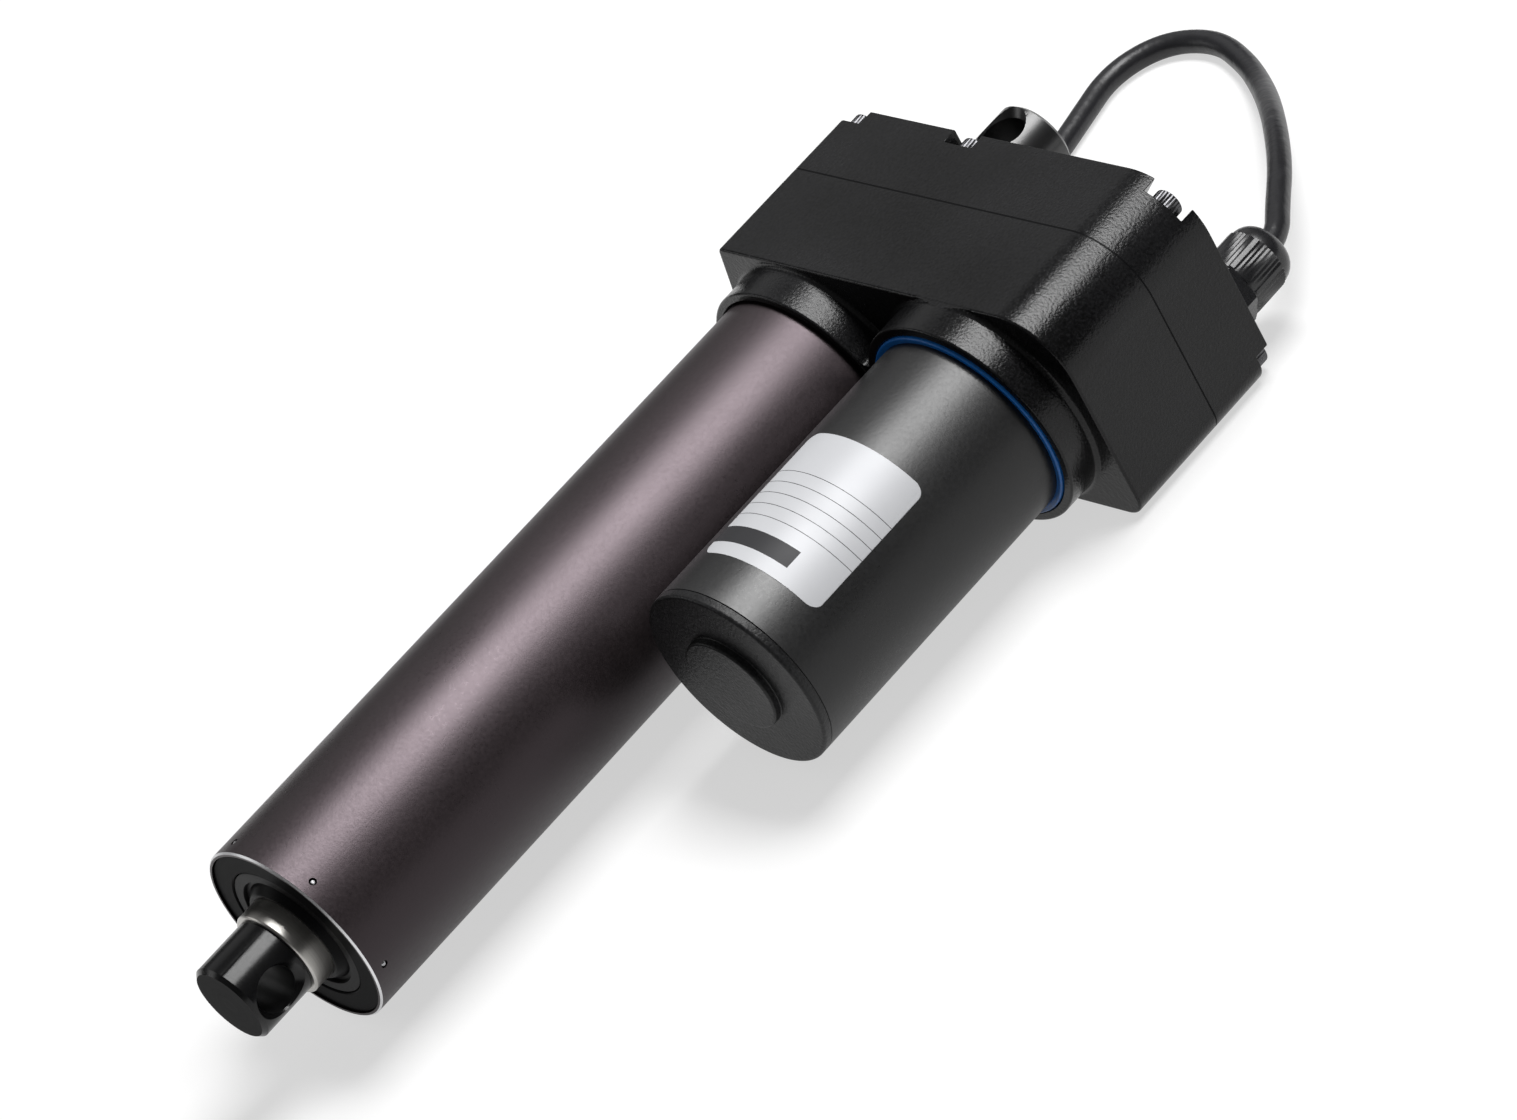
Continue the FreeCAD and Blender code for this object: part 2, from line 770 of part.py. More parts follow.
def socket_screw(name, radius, reach, head_radius, head_height):
    """A socket-head screw along +X with the underside of its head at X = 0."""
    body = new_body(name)
    spin(body, [
        (-head_height, 0),
        (-head_height, head_radius),
        (0, head_radius),
        (0, radius),
        (reach, radius),
        (reach, 0),
    ])
    return body


def hexagon_socket(body, station):
    """Sink a hexagon socket into a screw's head."""
    sketch = new_sketch(body, "YZ_Plane", (0, 0, station))
    corner = size.screw_socket_width / math.sqrt(3)
    corners = []
    for step in range(6):
        angle = math.radians(60 * step)
        corners.append((corner * math.cos(angle), corner * math.sin(angle)))
    draw_outline(sketch, corners)
    pocket(body, sketch, size.screw_socket_depth)


def copies(name, pattern, places):
    """Copies of one piece at (x, y, z) places, as one node of separate solids."""
    doc.recompute()
    shapes = []
    for place_of_copy in places:
        offset = Vector(*[length(value).number for value in place_of_copy])
        shapes.append(pattern.Shape.translated(offset))
    return group(name, shapes)


def cover_screws():
    screw = socket_screw("cover_screw", size.screw_radius, size.screw_length,
                         size.screw_head_radius, size.screw_head_height)
    hexagon_socket(screw, -size.screw_head_height)
    return copies("cover_screws", screw, [(screw_seat, y, z) for y, z in COVER_SCREWS])


def motor_screws():
    screw = socket_screw("motor_screw", size.screw_radius, size.motor_screw_length,
                         size.screw_head_radius, size.screw_head_height)
    hexagon_socket(screw, -size.screw_head_height)
    return copies("motor_screws", screw, [(case_floor, y, z) for y, z in MOTOR_SCREWS])


def rear_clevis():
    """The turned rear eye with its shank in the cover."""
    eye = turned("clevis_eye", [
        (-size.eye_overhang, 0),
        (-size.eye_overhang, size.eye_radius - size.eye_chamfer),
        (size.eye_chamfer - size.eye_overhang, size.eye_radius),
        (rear_face, size.eye_radius),
        (rear_face, size.clevis_shank_radius),
        (clevis_end, size.clevis_shank_radius),
        (clevis_end, 0),
    ])
    hole = rod_shape("clevis_hole", (0, 0, -size.eye_radius), size.pin_hole_radius, size.eye_radius * 2, "z")
    return cut("rear_clevis", eye, hole)


# Cover tube and what closes its front

def cover_tube(pin_holes):
    end = tube_front
    blank = turned("tube_blank", [
        (tube_start, tube_bore),
        (tube_start, size.tube_radius),
        (end - size.tube_chamfer, size.tube_radius),
        (end, size.tube_radius - size.tube_chamfer),
        (end, cap_seat_radius),
        (cap_seat, cap_seat_radius),
        (cap_seat, tube_bore),
    ])
    return cut("cover_tube", blank, pin_holes)


def front_cap(pin_holes):
    play = size.fit_play
    groove_start = cap_rear + size.ring_groove_back
    groove_end = groove_start + size.ring_groove_width
    groove = tube_bore - size.ring_groove_depth
    lip = size.rod_radius + size.cap_web_gap
    blank = turned("cap_blank", [
        (cap_rear, bush_radius + play),
        (cap_rear, tube_bore - play),
        (groove_start, tube_bore - play),
        (groove_start, groove),
        (groove_end, groove),
        (groove_end, tube_bore - play),
        (cap_seat, tube_bore - play),
        (cap_seat, cap_seat_radius - play),
        (cap_front, cap_seat_radius - play),
        (cap_front, size.wiper_radius + play + size.collar_edge),
        (cap_front - size.collar_edge, size.wiper_radius + play),
        (cap_seat, size.wiper_radius + play),
        (cap_seat, lip),
        (cap_seat - size.cap_web, lip),
        (cap_seat - size.cap_web, bush_radius + play),
    ])
    return cut("front_cap", blank, pin_holes)


def radial_pins(name, radius, outer, reach):
    """Short cylinders that point at the tube's axis."""
    shapes = []
    station = (tube_front - size.cap_pin_back).number
    start = (length(outer) - reach).number
    for step in range(CAP_PINS):
        angle = math.radians(360 / CAP_PINS * step + FIRST_PIN_ANGLE)
        outward = Vector(0, math.cos(angle), math.sin(angle))
        foot = Vector(station, 0, 0) + outward * start
        shapes.append(Part.makeCylinder(length(radius).number, length(reach).number, foot, outward))
    return group(name, shapes)


def rod_wiper():
    play = size.run_play
    end = cap_seat + size.wiper_length
    tip = cap_front + size.wiper_tip_proud
    return turned("rod_wiper", [
        (cap_seat, size.rod_radius + size.wiper_relief),
        (cap_seat, size.wiper_radius),
        (end, size.wiper_radius),
        (end, size.rod_radius + size.wiper_lip_reach),
        (tip, size.rod_radius + size.wiper_tip_wall),
        (tip, size.rod_radius + play),
        (tip - size.wiper_tip_length, size.rod_radius + play),
        (end - size.wiper_tip_length, size.rod_radius + size.wiper_relief),
    ])


# The moving rod

def push_rod():
    return turned("push_rod", [
        (rod_start, rod_bore),
        (rod_start, size.rod_radius),
        (rod_front - size.rod_chamfer, size.rod_radius),
        (rod_front, size.rod_radius - size.rod_chamfer),
        (rod_front, rod_bore),
    ])


def rod_end():
    """The turned front eye with its plug in the rod."""
    end = pin_distance + size.eye_overhang
    plug = rod_bore - size.fit_play
    eye = turned("rod_eye", [
        (rod_front - size.rod_plug_length, 0),
        (rod_front - size.rod_plug_length, plug),
        (rod_front, plug),
        (rod_front, size.eye_radius),
        (end - size.eye_chamfer, size.eye_radius),
        (end, size.eye_radius - size.eye_chamfer),
        (end, 0),
    ])
    hole = rod_shape("rod_end_hole", (pin_distance, -size.eye_radius, 0),
                     size.pin_hole_radius, size.eye_radius * 2, "y")
    return cut("rod_end", eye, hole)


def ball_nut():
    bore = size.screw_shaft_radius + size.run_play
    socket = size.rod_radius + size.fit_play
    ring_end = guide_ring_start + size.guide_ring_width
    groove = size.nut_radius - size.guide_ring_depth
    return turned("ball_nut", [
        (nut_start, bore),
        (nut_start, size.nut_radius),
        (guide_ring_start, size.nut_radius),
        (guide_ring_start, groove),
        (ring_end, groove),
        (ring_end, size.nut_radius),
        (nut_end, size.nut_radius),
        (nut_end, socket),
        (rod_start, socket),
        (rod_start, bore),
    ])


def guide_ring():
    inner = size.nut_radius - size.guide_ring_depth + size.fit_play
    end = guide_ring_start + size.guide_ring_width
    return turned("nut_guide_ring", tube(guide_ring_start, end, inner, tube_bore - size.guide_play))


# Ball screw, bearing and gears

def ball_screw():
    end = bearing_end + size.screw_shoulder_width
    shoulder = size.screw_shaft_radius + size.screw_shoulder_height
    blank = turned("screw_blank", [
        (clevis_end + size.stage_gap / 2, 0),
        (clevis_end + size.stage_gap / 2, size.journal_radius),
        (bearing_start, size.journal_radius),
        (bearing_start, size.screw_shaft_radius),
        (bearing_end, size.screw_shaft_radius),
        (bearing_end, shoulder),
        (end, shoulder),
        (end, size.screw_shaft_radius),
        (screw_tip - size.screw_tip_chamfer, size.screw_shaft_radius),
        (screw_tip, size.screw_shaft_radius - size.screw_tip_chamfer),
        (screw_tip, 0),
    ])
    return cut("ball_screw", blank, key_block("screw_keyway", size.fit_play))


def key_block(name, play):
    """The gear key, or with play the slot for it."""
    low = size.journal_radius - size.key_depth - play
    corner = (output_gear_start, (size.key_width / 2 + play) * -1, low)
    sides = (size.output_gear_width, size.key_width + length(play) * 2, size.key_height + length(play) * 2)
    return block(name, corner, sides)


def bearing_races():
    """Inner and outer race of the screw's bearing, each with a groove for the balls."""
    middle = (bearing_start + bearing_end) / 2
    half = size.ball_radius * GROOVE_SHARE
    inner_face = size.screw_shaft_radius + size.race_wall
    outer_face = size.bearing_radius - size.race_wall
    pitch = (size.screw_shaft_radius + size.bearing_radius) / 2
    low = pitch - size.ball_radius - size.run_play
    high = pitch + size.ball_radius + size.fit_play
    inner = turned("screw_bearing_inner", [
        (bearing_start, size.screw_shaft_radius + size.fit_play),
        (bearing_start, inner_face),
        (middle - half, inner_face),
        (middle - half, low),
        (middle + half, low),
        (middle + half, inner_face),
        (bearing_end, inner_face),
        (bearing_end, size.screw_shaft_radius + size.fit_play),
    ])
    outer = turned("screw_bearing_outer", [
        (bearing_start, size.bearing_radius),
        (bearing_start, outer_face),
        (middle - half, outer_face),
        (middle - half, high),
        (middle + half, high),
        (middle + half, outer_face),
        (bearing_end, outer_face),
        (bearing_end, size.bearing_radius),
    ])
    return inner, outer


def bearing_balls():
    pitch = ((size.screw_shaft_radius + size.bearing_radius) / 2).number
    middle = ((bearing_start + bearing_end) / 2).number
    count = int(2 * math.pi * pitch / (size.ball_radius.number * 2.6))
    shapes = []
    for step in range(count):
        angle = 2 * math.pi * step / count
        centre = Vector(middle, pitch * math.cos(angle), pitch * math.sin(angle))
        shapes.append(Part.makeSphere(size.ball_radius.number, centre))
    return group("screw_bearing_balls", shapes)


def gear_spacer():
    inner = size.journal_radius + size.fit_play
    sleeve = size.journal_radius + size.spacer_wall
    flange = bearing_start - size.spacer_flange_width
    return turned("gear_spacer", [
        (output_gear_end, inner),
        (output_gear_end, sleeve),
        (flange, sleeve),
        (flange, size.spacer_flange_radius),
        (bearing_start, size.spacer_flange_radius),
        (bearing_start, inner),
    ])


def gear_face(teeth, module, phase):
    """Outline of a spur gear across X, with involute flanks as single arcs."""
    pressure = math.radians(PRESSURE_ANGLE)
    pitch = module * teeth / 2
    base = pitch * math.cos(pressure)
    tip = pitch + module
    root = pitch - 1.25 * module
    half_pitch = math.pi / (2 * teeth) - size.backlash.number / (2 * pitch)

    def point(radius, angle):
        turn = angle + phase
        return Vector(0, radius * math.cos(turn), radius * math.sin(turn))

    def half_tooth(radius):
        slope = math.acos(min(1, base / radius))
        return half_pitch + math.tan(pressure) - pressure - (math.tan(slope) - slope)

    foot = max(base, root)
    middle = (foot + tip) / 2
    edges = []
    for tooth in range(teeth):
        centre = 2 * math.pi * tooth / teeth
        following = centre + 2 * math.pi / teeth
        rise = [point(r, centre - half_tooth(r)) for r in (foot, middle, tip)]
        fall = [point(r, centre + half_tooth(r)) for r in (tip, middle, foot)]
        valley_start = point(root, centre + half_tooth(foot))
        valley_end = point(root, following - half_tooth(foot))
        if root < base:
            edges.append(Part.makeLine(point(root, centre - half_tooth(foot)), rise[0]))
        edges.append(Part.Arc(*rise).toShape())
        edges.append(Part.Arc(rise[2], point(tip, centre), fall[0]).toShape())
        edges.append(Part.Arc(*fall).toShape())
        if root < base:
            edges.append(Part.makeLine(fall[2], valley_start))
        edges.append(Part.Arc(valley_start, point(root, (centre + following) / 2), valley_end).toShape())
    return Part.Face(Part.Wire(edges))


def spur_gear(name, teeth, module, width, bore, half_step):
    """A spur gear along X. With half_step a gap, not a tooth, faces the negative Y side."""
    phase = math.pi / teeth if half_step else 0
    item = doc.addObject("Part::Feature", name)
    solid = gear_face(teeth, module.number, phase).extrude(Vector(width.number, 0, 0))
    hole = Part.makeCylinder(bore.number, width.number, Vector(0, 0, 0), Vector(1, 0, 0))
    item.Shape = solid.cut(hole)
    return item


def output_gear():
    gear = spur_gear("output_gear_blank", OUTPUT_TEETH, output_module, size.output_gear_width,
                     size.journal_radius + size.fit_play, False)
    place(gear, output_gear_start, 0, 0)
    return cut("output_gear", gear, key_block("gear_keyway", size.fit_play))


def idler_gears():
    bore = size.idler_axle_radius + size.idler_bush_wall + size.fit_play
    wheel = spur_gear("idler_gear", IDLER_TEETH, motor_module, size.idler_gear_width, bore, False)
    place(wheel, idler_gear_start, idler_y, 0)
    width = idler_gear_start - output_gear_start + size.pinion_overlap
    pinion = spur_gear("idler_pinion", IDLER_PINION_TEETH, output_module, width, bore, True)
    place(pinion, output_gear_start - size.pinion_overlap, idler_y, 0)
    return wheel, pinion


def motor_pinion():
    bore = size.motor_shaft_end_radius + size.fit_play
    pinion = spur_gear("motor_pinion", MOTOR_TEETH, motor_module, size.motor_pinion_width, bore, True)
    return place(pinion, idler_gear_start - size.pinion_overlap, motor_y, 0)


# Motor

def motor_end_cap():
    spigot = motor_bore - size.fit_play
    inner = spigot - size.motor_cap_wall
    edge = size.motor_cap_edge
    seat = nub_face - size.motor_nub_wall
    bearing = size.motor_bearing_radius + size.fit_play
    boss = bearing + size.motor_cap_wall
    return turned("motor_end_cap", [
        (motor_end - size.motor_cap_spigot, inner),
        (motor_end - size.motor_cap_spigot, spigot),
        (motor_end, spigot),
        (motor_end, size.motor_radius),
        (motor_face - edge, size.motor_radius),
        (motor_face, size.motor_radius - edge),
        (motor_face, size.motor_nub_radius),
        (nub_face - edge, size.motor_nub_radius),
        (nub_face, size.motor_nub_radius - edge),
        (nub_face, 0),
        (seat, 0),
        (seat, bearing),
        (seat - size.motor_bearing_width, bearing),
        (seat - size.motor_bearing_width, boss),
        (motor_end, boss),
        (motor_end, inner),
    ], motor_y)


def motor_flange():
    """The motor's front bracket, with the bearing seat in its boss."""
    end = motor_seat + size.motor_flange_thickness
    bearing = size.motor_bearing_radius + size.fit_play
    body = turned("motor_flange", [
        (motor_seat - size.motor_boss_length, bearing),
        (motor_seat - size.motor_boss_length, size.motor_boss_radius),
        (motor_seat, size.motor_boss_radius),
        (motor_seat, motor_bore - size.fit_play),
        (end, motor_bore - size.fit_play),
        (end, size.motor_shaft_radius + size.motor_cap_wall),
        (motor_seat, size.motor_shaft_radius + size.motor_cap_wall),
        (motor_seat, bearing),
    ], motor_y)
    spots = [(0, size.motor_screw_circle), (0, -size.motor_screw_circle)]
    thread = size.screw_radius + size.fit_play
    pocket(body, circles(body, motor_seat, spots, thread), size.motor_flange_thickness)
    return body


def motor_bearing(name, start):
    bore = size.motor_shaft_radius + size.run_play
    end = start + size.motor_bearing_width
    return turned(name, tube(start, end, bore, size.motor_bearing_radius), motor_y)


def motor_magnets():
    """Two curved magnets inside the can."""
    solids = []
    for side in (0, 1):
        turn = 180 * side + 90 - MAGNET_SPAN / 2
        sector = []
        for radius in (motor_bore - size.fit_play, magnet_inner):
            sector.append(Part.makeCylinder(radius.number, size.magnet_length.number, Vector(0, 0, 0),
                                            Vector(0, 0, 1), MAGNET_SPAN))
        arc = sector[0].cut(sector[1])
        arc.rotate(Vector(0, 0, 0), Vector(0, 0, 1), turn)
        arc.rotate(Vector(0, 0, 0), Vector(1, 1, 1), 120)
        solids.append(arc)
    return place(group("motor_magnets", solids), magnet_start, motor_y, 0)


def rotor_shaft():
    end = nub_face - size.motor_nub_wall - size.idler_end_play
    step = motor_seat - size.motor_boss_length - size.stage_gap
    start = idler_gear_start - size.pinion_overlap - size.stage_gap / 2
    return turned("rotor_shaft", [
        (start, 0),
        (start, size.motor_shaft_end_radius),
        (step, size.motor_shaft_end_radius),
        (step, size.motor_shaft_radius),
        (end, size.motor_shaft_radius),
        (end, 0),
    ], motor_y)


def armature_core():
    """The laminated rotor core with a slot for each coil side."""
    bore = size.motor_shaft_radius + size.fit_play
    body = turned("armature_core", tube(magnet_start, magnet_end, bore, core_radius), motor_y)
    slot = new_sketch(body, "YZ_Plane", (0, 0, magnet_start))
    half = size.core_slot_width / 2
    low = core_radius - size.core_slot_depth
    draw_outline(slot, [(low, -half), (core_radius + 1, -half), (core_radius + 1, half), (low, half)])
    first = pocket(body, slot, size.magnet_length)
    pattern = body.newObject("PartDesign::PolarPattern", "core_slot_pattern")
    pattern.Originals = [first]
    pattern.Axis = ([item for item in body.Origin.OriginFeatures if item.Role == "X_Axis"][0], [""])
    pattern.Angle = 360
    pattern.Occurrences = CORE_SLOTS
    body.Tip = pattern
    return body


def armature_windings():
    """Coil sides in the slots, joined by the end turns at both ends of the core."""
    play = size.winding_play
    inner = core_radius - size.core_slot_depth + play
    outer = core_radius - play * 4
    near = turned("near_turns", tube(magnet_start - size.winding_overhang, magnet_start, inner, outer))
    far = turned("far_turns", tube(magnet_end, magnet_end + size.winding_overhang, inner, outer))
    doc.recompute()
    width = (size.core_slot_width - play * 2).number
    side = Part.makeBox(size.magnet_length.number, (outer - inner).number, width,
                        Vector(magnet_start.number, inner.number, -width / 2))
    shape = near.Shape.fuse(far.Shape)
    for step in range(CORE_SLOTS):
        coil_side = side.copy()
        coil_side.rotate(Vector(0, 0, 0), Vector(1, 0, 0), 360 * step / CORE_SLOTS)
        shape = shape.fuse(coil_side)
    item = doc.addObject("Part::Feature", "armature_windings")
    item.Shape = shape.removeSplitter()
    return place(item, 0, motor_y, 0)


def brush_box(name, side, wall):
    """The block that a brush fills, or with a wall the holder round it."""
    inner = size.commutator_radius + size.run_play
    wide = size.brush_width + length(wall) * 2
    low = inner if side > 0 else -inner - size.brush_reach
    start = commutator_start + (size.commutator_length - size.brush_length) / 2
    corner = (start - wall, motor_y - wide / 2, low)
    return block(name, corner, (size.brush_length + length(wall) * 2, wide, size.brush_reach))


def carbon_brushes():
    brushes = [brush_box("brush", side, 0) for side in (1, -1)]
    doc.recompute()
    return group("carbon_brushes", [item.Shape for item in brushes])


def brush_plate():
    """The insulating plate with a holder for each brush."""
    start = commutator_start - size.brush_plate_thickness
    rim = motor_bore - size.fit_play
    plate = turned("brush_card", tube(start, commutator_start, size.brush_plate_bore, rim), motor_y)
    wall = size.brush_holder_wall + size.brush_play
    holders = [brush_box("brush_holder", side, wall) for side in (1, -1)]
    channels = [brush_box("brush_channel", side, size.brush_play) for side in (1, -1)]
    reach = commutator_end - start + size.brush_plate_thickness
    clear = rod_shape("holder_clearance", (start, motor_y, 0), size.brush_plate_bore, reach)
    return cut("brush_plate", fuse("plate_and_holders", plate, *holders), *channels, clear)


# Terminal board, gland and cable

def terminal_board():
    start = cover_floor + size.board_stand
    corner = (start, board_middle - size.board_width / 2, size.board_height / 2 * -1)
    board = block("board_blank", corner, (size.board_thickness, size.board_width, size.board_height))
    hole = size.board_screw_radius + size.fit_play
    holes = []
    for y, z in BOARD_POSTS:
        holes.append(rod_shape("board_hole", (start, y, z), hole, size.board_thickness))
    return cut("terminal_board", board, *holes)


def board_screws():
    screw = socket_screw("board_screw", size.board_screw_radius, size.board_screw_length,
                         size.board_screw_head_radius, size.board_screw_head_height)
    screw.Placement = Placement(Vector(0, 0, 0), Rotation(Vector(0, 0, 1), 180))
    top = cover_floor + size.board_stand + size.board_thickness
    return copies("board_screws", screw, [(top, y, z) for y, z in BOARD_POSTS])


def terminal_block():
    start = cover_floor + size.board_stand - size.block_depth
    half = size.block_width / 2
    return block("terminal_block", (start, GLAND[0] - half, GLAND[1] - half),
                 (size.block_depth, size.block_width, size.block_width))


def inner_wires():
    """Two short wires from the gland to the terminal block."""
    start = (rear_face + size.gland_thread_length).number
    end = (cover_floor + size.board_stand - size.block_depth).number
    shapes = []
    for side in (1, -1):
        y = GLAND[0].number + side * size.core_wire_pitch.number / 2
        foot = Vector(start, y, GLAND[1].number)
        shapes.append(Part.makeCylinder(size.inner_wire_radius.number, end - start, foot, Vector(1, 0, 0)))
    return group("inner_wires", shapes)


gland_hex_start = rear_face - size.gland_hex_height
gland_rim = gland_hex_start - size.gland_nut_rim
gland_mouth = gland_rim - size.gland_dome_height


def gland_body():
    """Hexagon and threaded spigot of the cable gland."""
    body = new_body("gland_body")
    sketch = new_sketch(body, "YZ_Plane", (0, 0, gland_hex_start))
    corners = []
    for step in range(6):
        angle = math.radians(60 * step)
        corners.append((size.gland_hex_radius * math.cos(angle), size.gland_hex_radius * math.sin(angle)))
    draw_outline(sketch, corners)
    pad(body, sketch, size.gland_hex_height)
    pad(body, circles(body, rear_face, [(0, 0)], size.gland_thread_radius), size.gland_thread_length)
    bore = circles(body, gland_hex_start, [(0, 0)], size.gland_bore_radius)
    pocket(body, bore, size.gland_hex_height + size.gland_thread_length)
    return place(body, 0, *GLAND)


def gland_nut():
    """The domed clamping nut."""
    step = size.gland_nut_radius - size.gland_mouth_radius
    bore = size.gland_bore_radius
    lip = gland_mouth + size.cable_radius / 2
    return turned("gland_nut", [
        (gland_mouth, size.gland_mouth_radius),
        (gland_mouth, size.gland_mouth_radius + step * 0.45),
        (gland_mouth + size.gland_dome_height * 0.12, size.gland_mouth_radius + step * 0.68),
        (gland_mouth + size.gland_dome_height * 0.36, size.gland_mouth_radius + step * 0.88),
        (gland_mouth + size.gland_dome_height * 0.68, size.gland_mouth_radius + step * 0.98),
        (gland_rim, size.gland_nut_radius),
        (gland_hex_start, size.gland_nut_radius),
        (gland_hex_start, bore),
        (lip, bore),
        (lip, size.gland_mouth_radius),
    ], *GLAND)


def gland_seal():
    """The seal with the stretch of cable that it grips."""
    lip = gland_mouth + size.cable_radius / 2
    mouth = size.gland_mouth_radius - size.fit_play
    body = size.gland_bore_radius - size.fit_play
    end = rear_face + size.gland_thread_length
    return turned("gland_seal", [
        (gland_mouth, 0),
        (gland_mouth, mouth),
        (lip, mouth),
        (lip, body),
        (end, body),
        (end, 0),
    ], *GLAND)


# The lead's route: out of the gland, down to the bench, round and back past the case
CABLE_ROUTE = [
    (-0.5, 92, -13.3),
    (-12, 92, -13.3),
    (-22.5, 85, -12.8),
    (-32, 74, -13),
    (-46.5, 57, -16.5),
    (-60, 39.5, -22.5),
    (-71, 23, -28.5),
    (-80, 7, -31.5),
    (-86, -9, -31.5),
    (-82, -26, -31.5),
    (-68, -36.5, -31.5),
    (-47, -35.5, -31.5),
    (-25, -32.5, -31.5),
    (2, -36, -31.5),
    (28, -42, -31.5),
    (54, -47.5, -31.5),
    (80, -50.5, -30.7),
    (101.2, -50.5, -30.7),
]
ARC_SHARE = 0.45        # of the shorter run, taken by the arc at a corner
CORE_LIFT = 0.4         # cores above the bench and beside the lead


def cable_path():
    """Straight runs joined by the largest tangent arcs that they allow."""
    points = [Vector(*point) for point in CABLE_ROUTE]
    edges = []
    last = points[0]
    for before, corner, after in zip(points, points[1:], points[2:]):
        back = (before - corner)
        ahead = (after - corner)
        shorter = min(back.Length, ahead.Length)
        back.normalize()
        ahead.normalize()
        turn = math.pi - back.getAngle(ahead)
        radius = ARC_SHARE * shorter / math.tan(turn / 2)
        print(f"cable bend at {tuple(corner)}: radius {radius:.1f}")
        start = corner + back * ARC_SHARE * shorter
        end = corner + ahead * ARC_SHARE * shorter
        inward = (back + ahead).normalize()
        middle = corner + inward * (radius / math.cos(turn / 2) - radius)
        edges.append(Part.LineSegment(last, start).toShape())
        edges.append(Part.Arc(start, middle, end).toShape())
        last = end
    edges.append(Part.LineSegment(last, points[-1]).toShape())
    return Part.Wire(edges)


def cable_lead():
    """The lead as a round tube along its route."""
    path = cable_path()
    radius = size.cable_radius.number
    first = Vector(*CABLE_ROUTE[0])
    heading = Vector(*CABLE_ROUTE[1]) - first
    section = Part.Wire(Part.makeCircle(radius, first, heading))
    item = doc.addObject("Part::Feature", "cable_lead")
    item.Shape = path.makePipeShell([section], True, False)
    expected = math.pi * radius ** 2 * path.Length
    print(f"cable volume {item.Shape.Volume:.0f}, section times length {expected:.0f}")
    print(f"cable length {path.Length:.0f}")
    return item


hank_outer = size.hank_fold_radius + size.cable_radius
hank_inner = size.hank_fold_radius - size.cable_radius
hank_y = length(CABLE_ROUTE[-1][1])
hank_low = size.strap_thickness - case_half_height
hank_height = size.cable_radius * 2 * HANK_LAYERS
hank_face = length(CABLE_ROUTE[-1][0])
hank_fold = hank_face - size.hank_flat + hank_outer


def stadium(name, radius):
    """A long plate with round ends, the outline of the folded cable."""
    far_fold = hank_fold + size.hank_straight
    ends = []
    for centre in (hank_fold, far_fold):
        ends.append(rod_shape(name, (centre, hank_y, hank_low), radius, hank_height, "z"))
    corner = (hank_fold, hank_y - radius, hank_low)
    middle = block(name, corner, (size.hank_straight, radius * 2, hank_height))
    return fuse(name, middle, *ends)


def cable_hank():
    """The put-away length, folded in line with the tube."""
    ring = cut("hank_ring", stadium("hank_outside", hank_outer), stadium("hank_inside", hank_inner))
    flat = block("hank_end_flat", (hank_face - size.hank_flat * 4, hank_y - hank_outer, hank_low),
                 (size.hank_flat * 4, hank_outer * 2, hank_height))
    return cut("cable_hank", ring, flat)


def cable_strap():
    """The strap round the middle of the hank."""
    start = hank_fold + size.hank_straight / 2 - size.strap_width / 2
    play = size.fit_play
    thick = size.strap_thickness
    inner_low = hank_low - play
    hole = block("strap_hole", (start, hank_y - hank_outer - play, inner_low),
                 (size.strap_width, hank_outer * 2 + play * 2, hank_height + play * 2))
    band = block("strap_band", (start, hank_y - hank_outer - play - thick, hank_low - thick),
                 (size.strap_width, hank_outer * 2 + (play + thick) * 2, hank_height + thick * 2))
    return cut("cable_strap", band, hole)


def cable_cores():
    """The cores at the cut end of the lead, which comes out of the hank beside its start."""
    radius = size.core_wire_radius.number
    middle = hank_y.number - size.cable_radius.number * 2 - CORE_LIFT
    shapes = []
    for side in (1, -1):
        y = middle + side * size.core_wire_pitch.number / 2
        foot = Vector(hank_face.number, y, -case_half_height.number + radius + CORE_LIFT)
        reach = size.core_wire_length.number
        shapes.append(Part.makeCylinder(radius, reach, foot, Vector(-1, 0, 0)))
    return group("cable_cores", shapes)


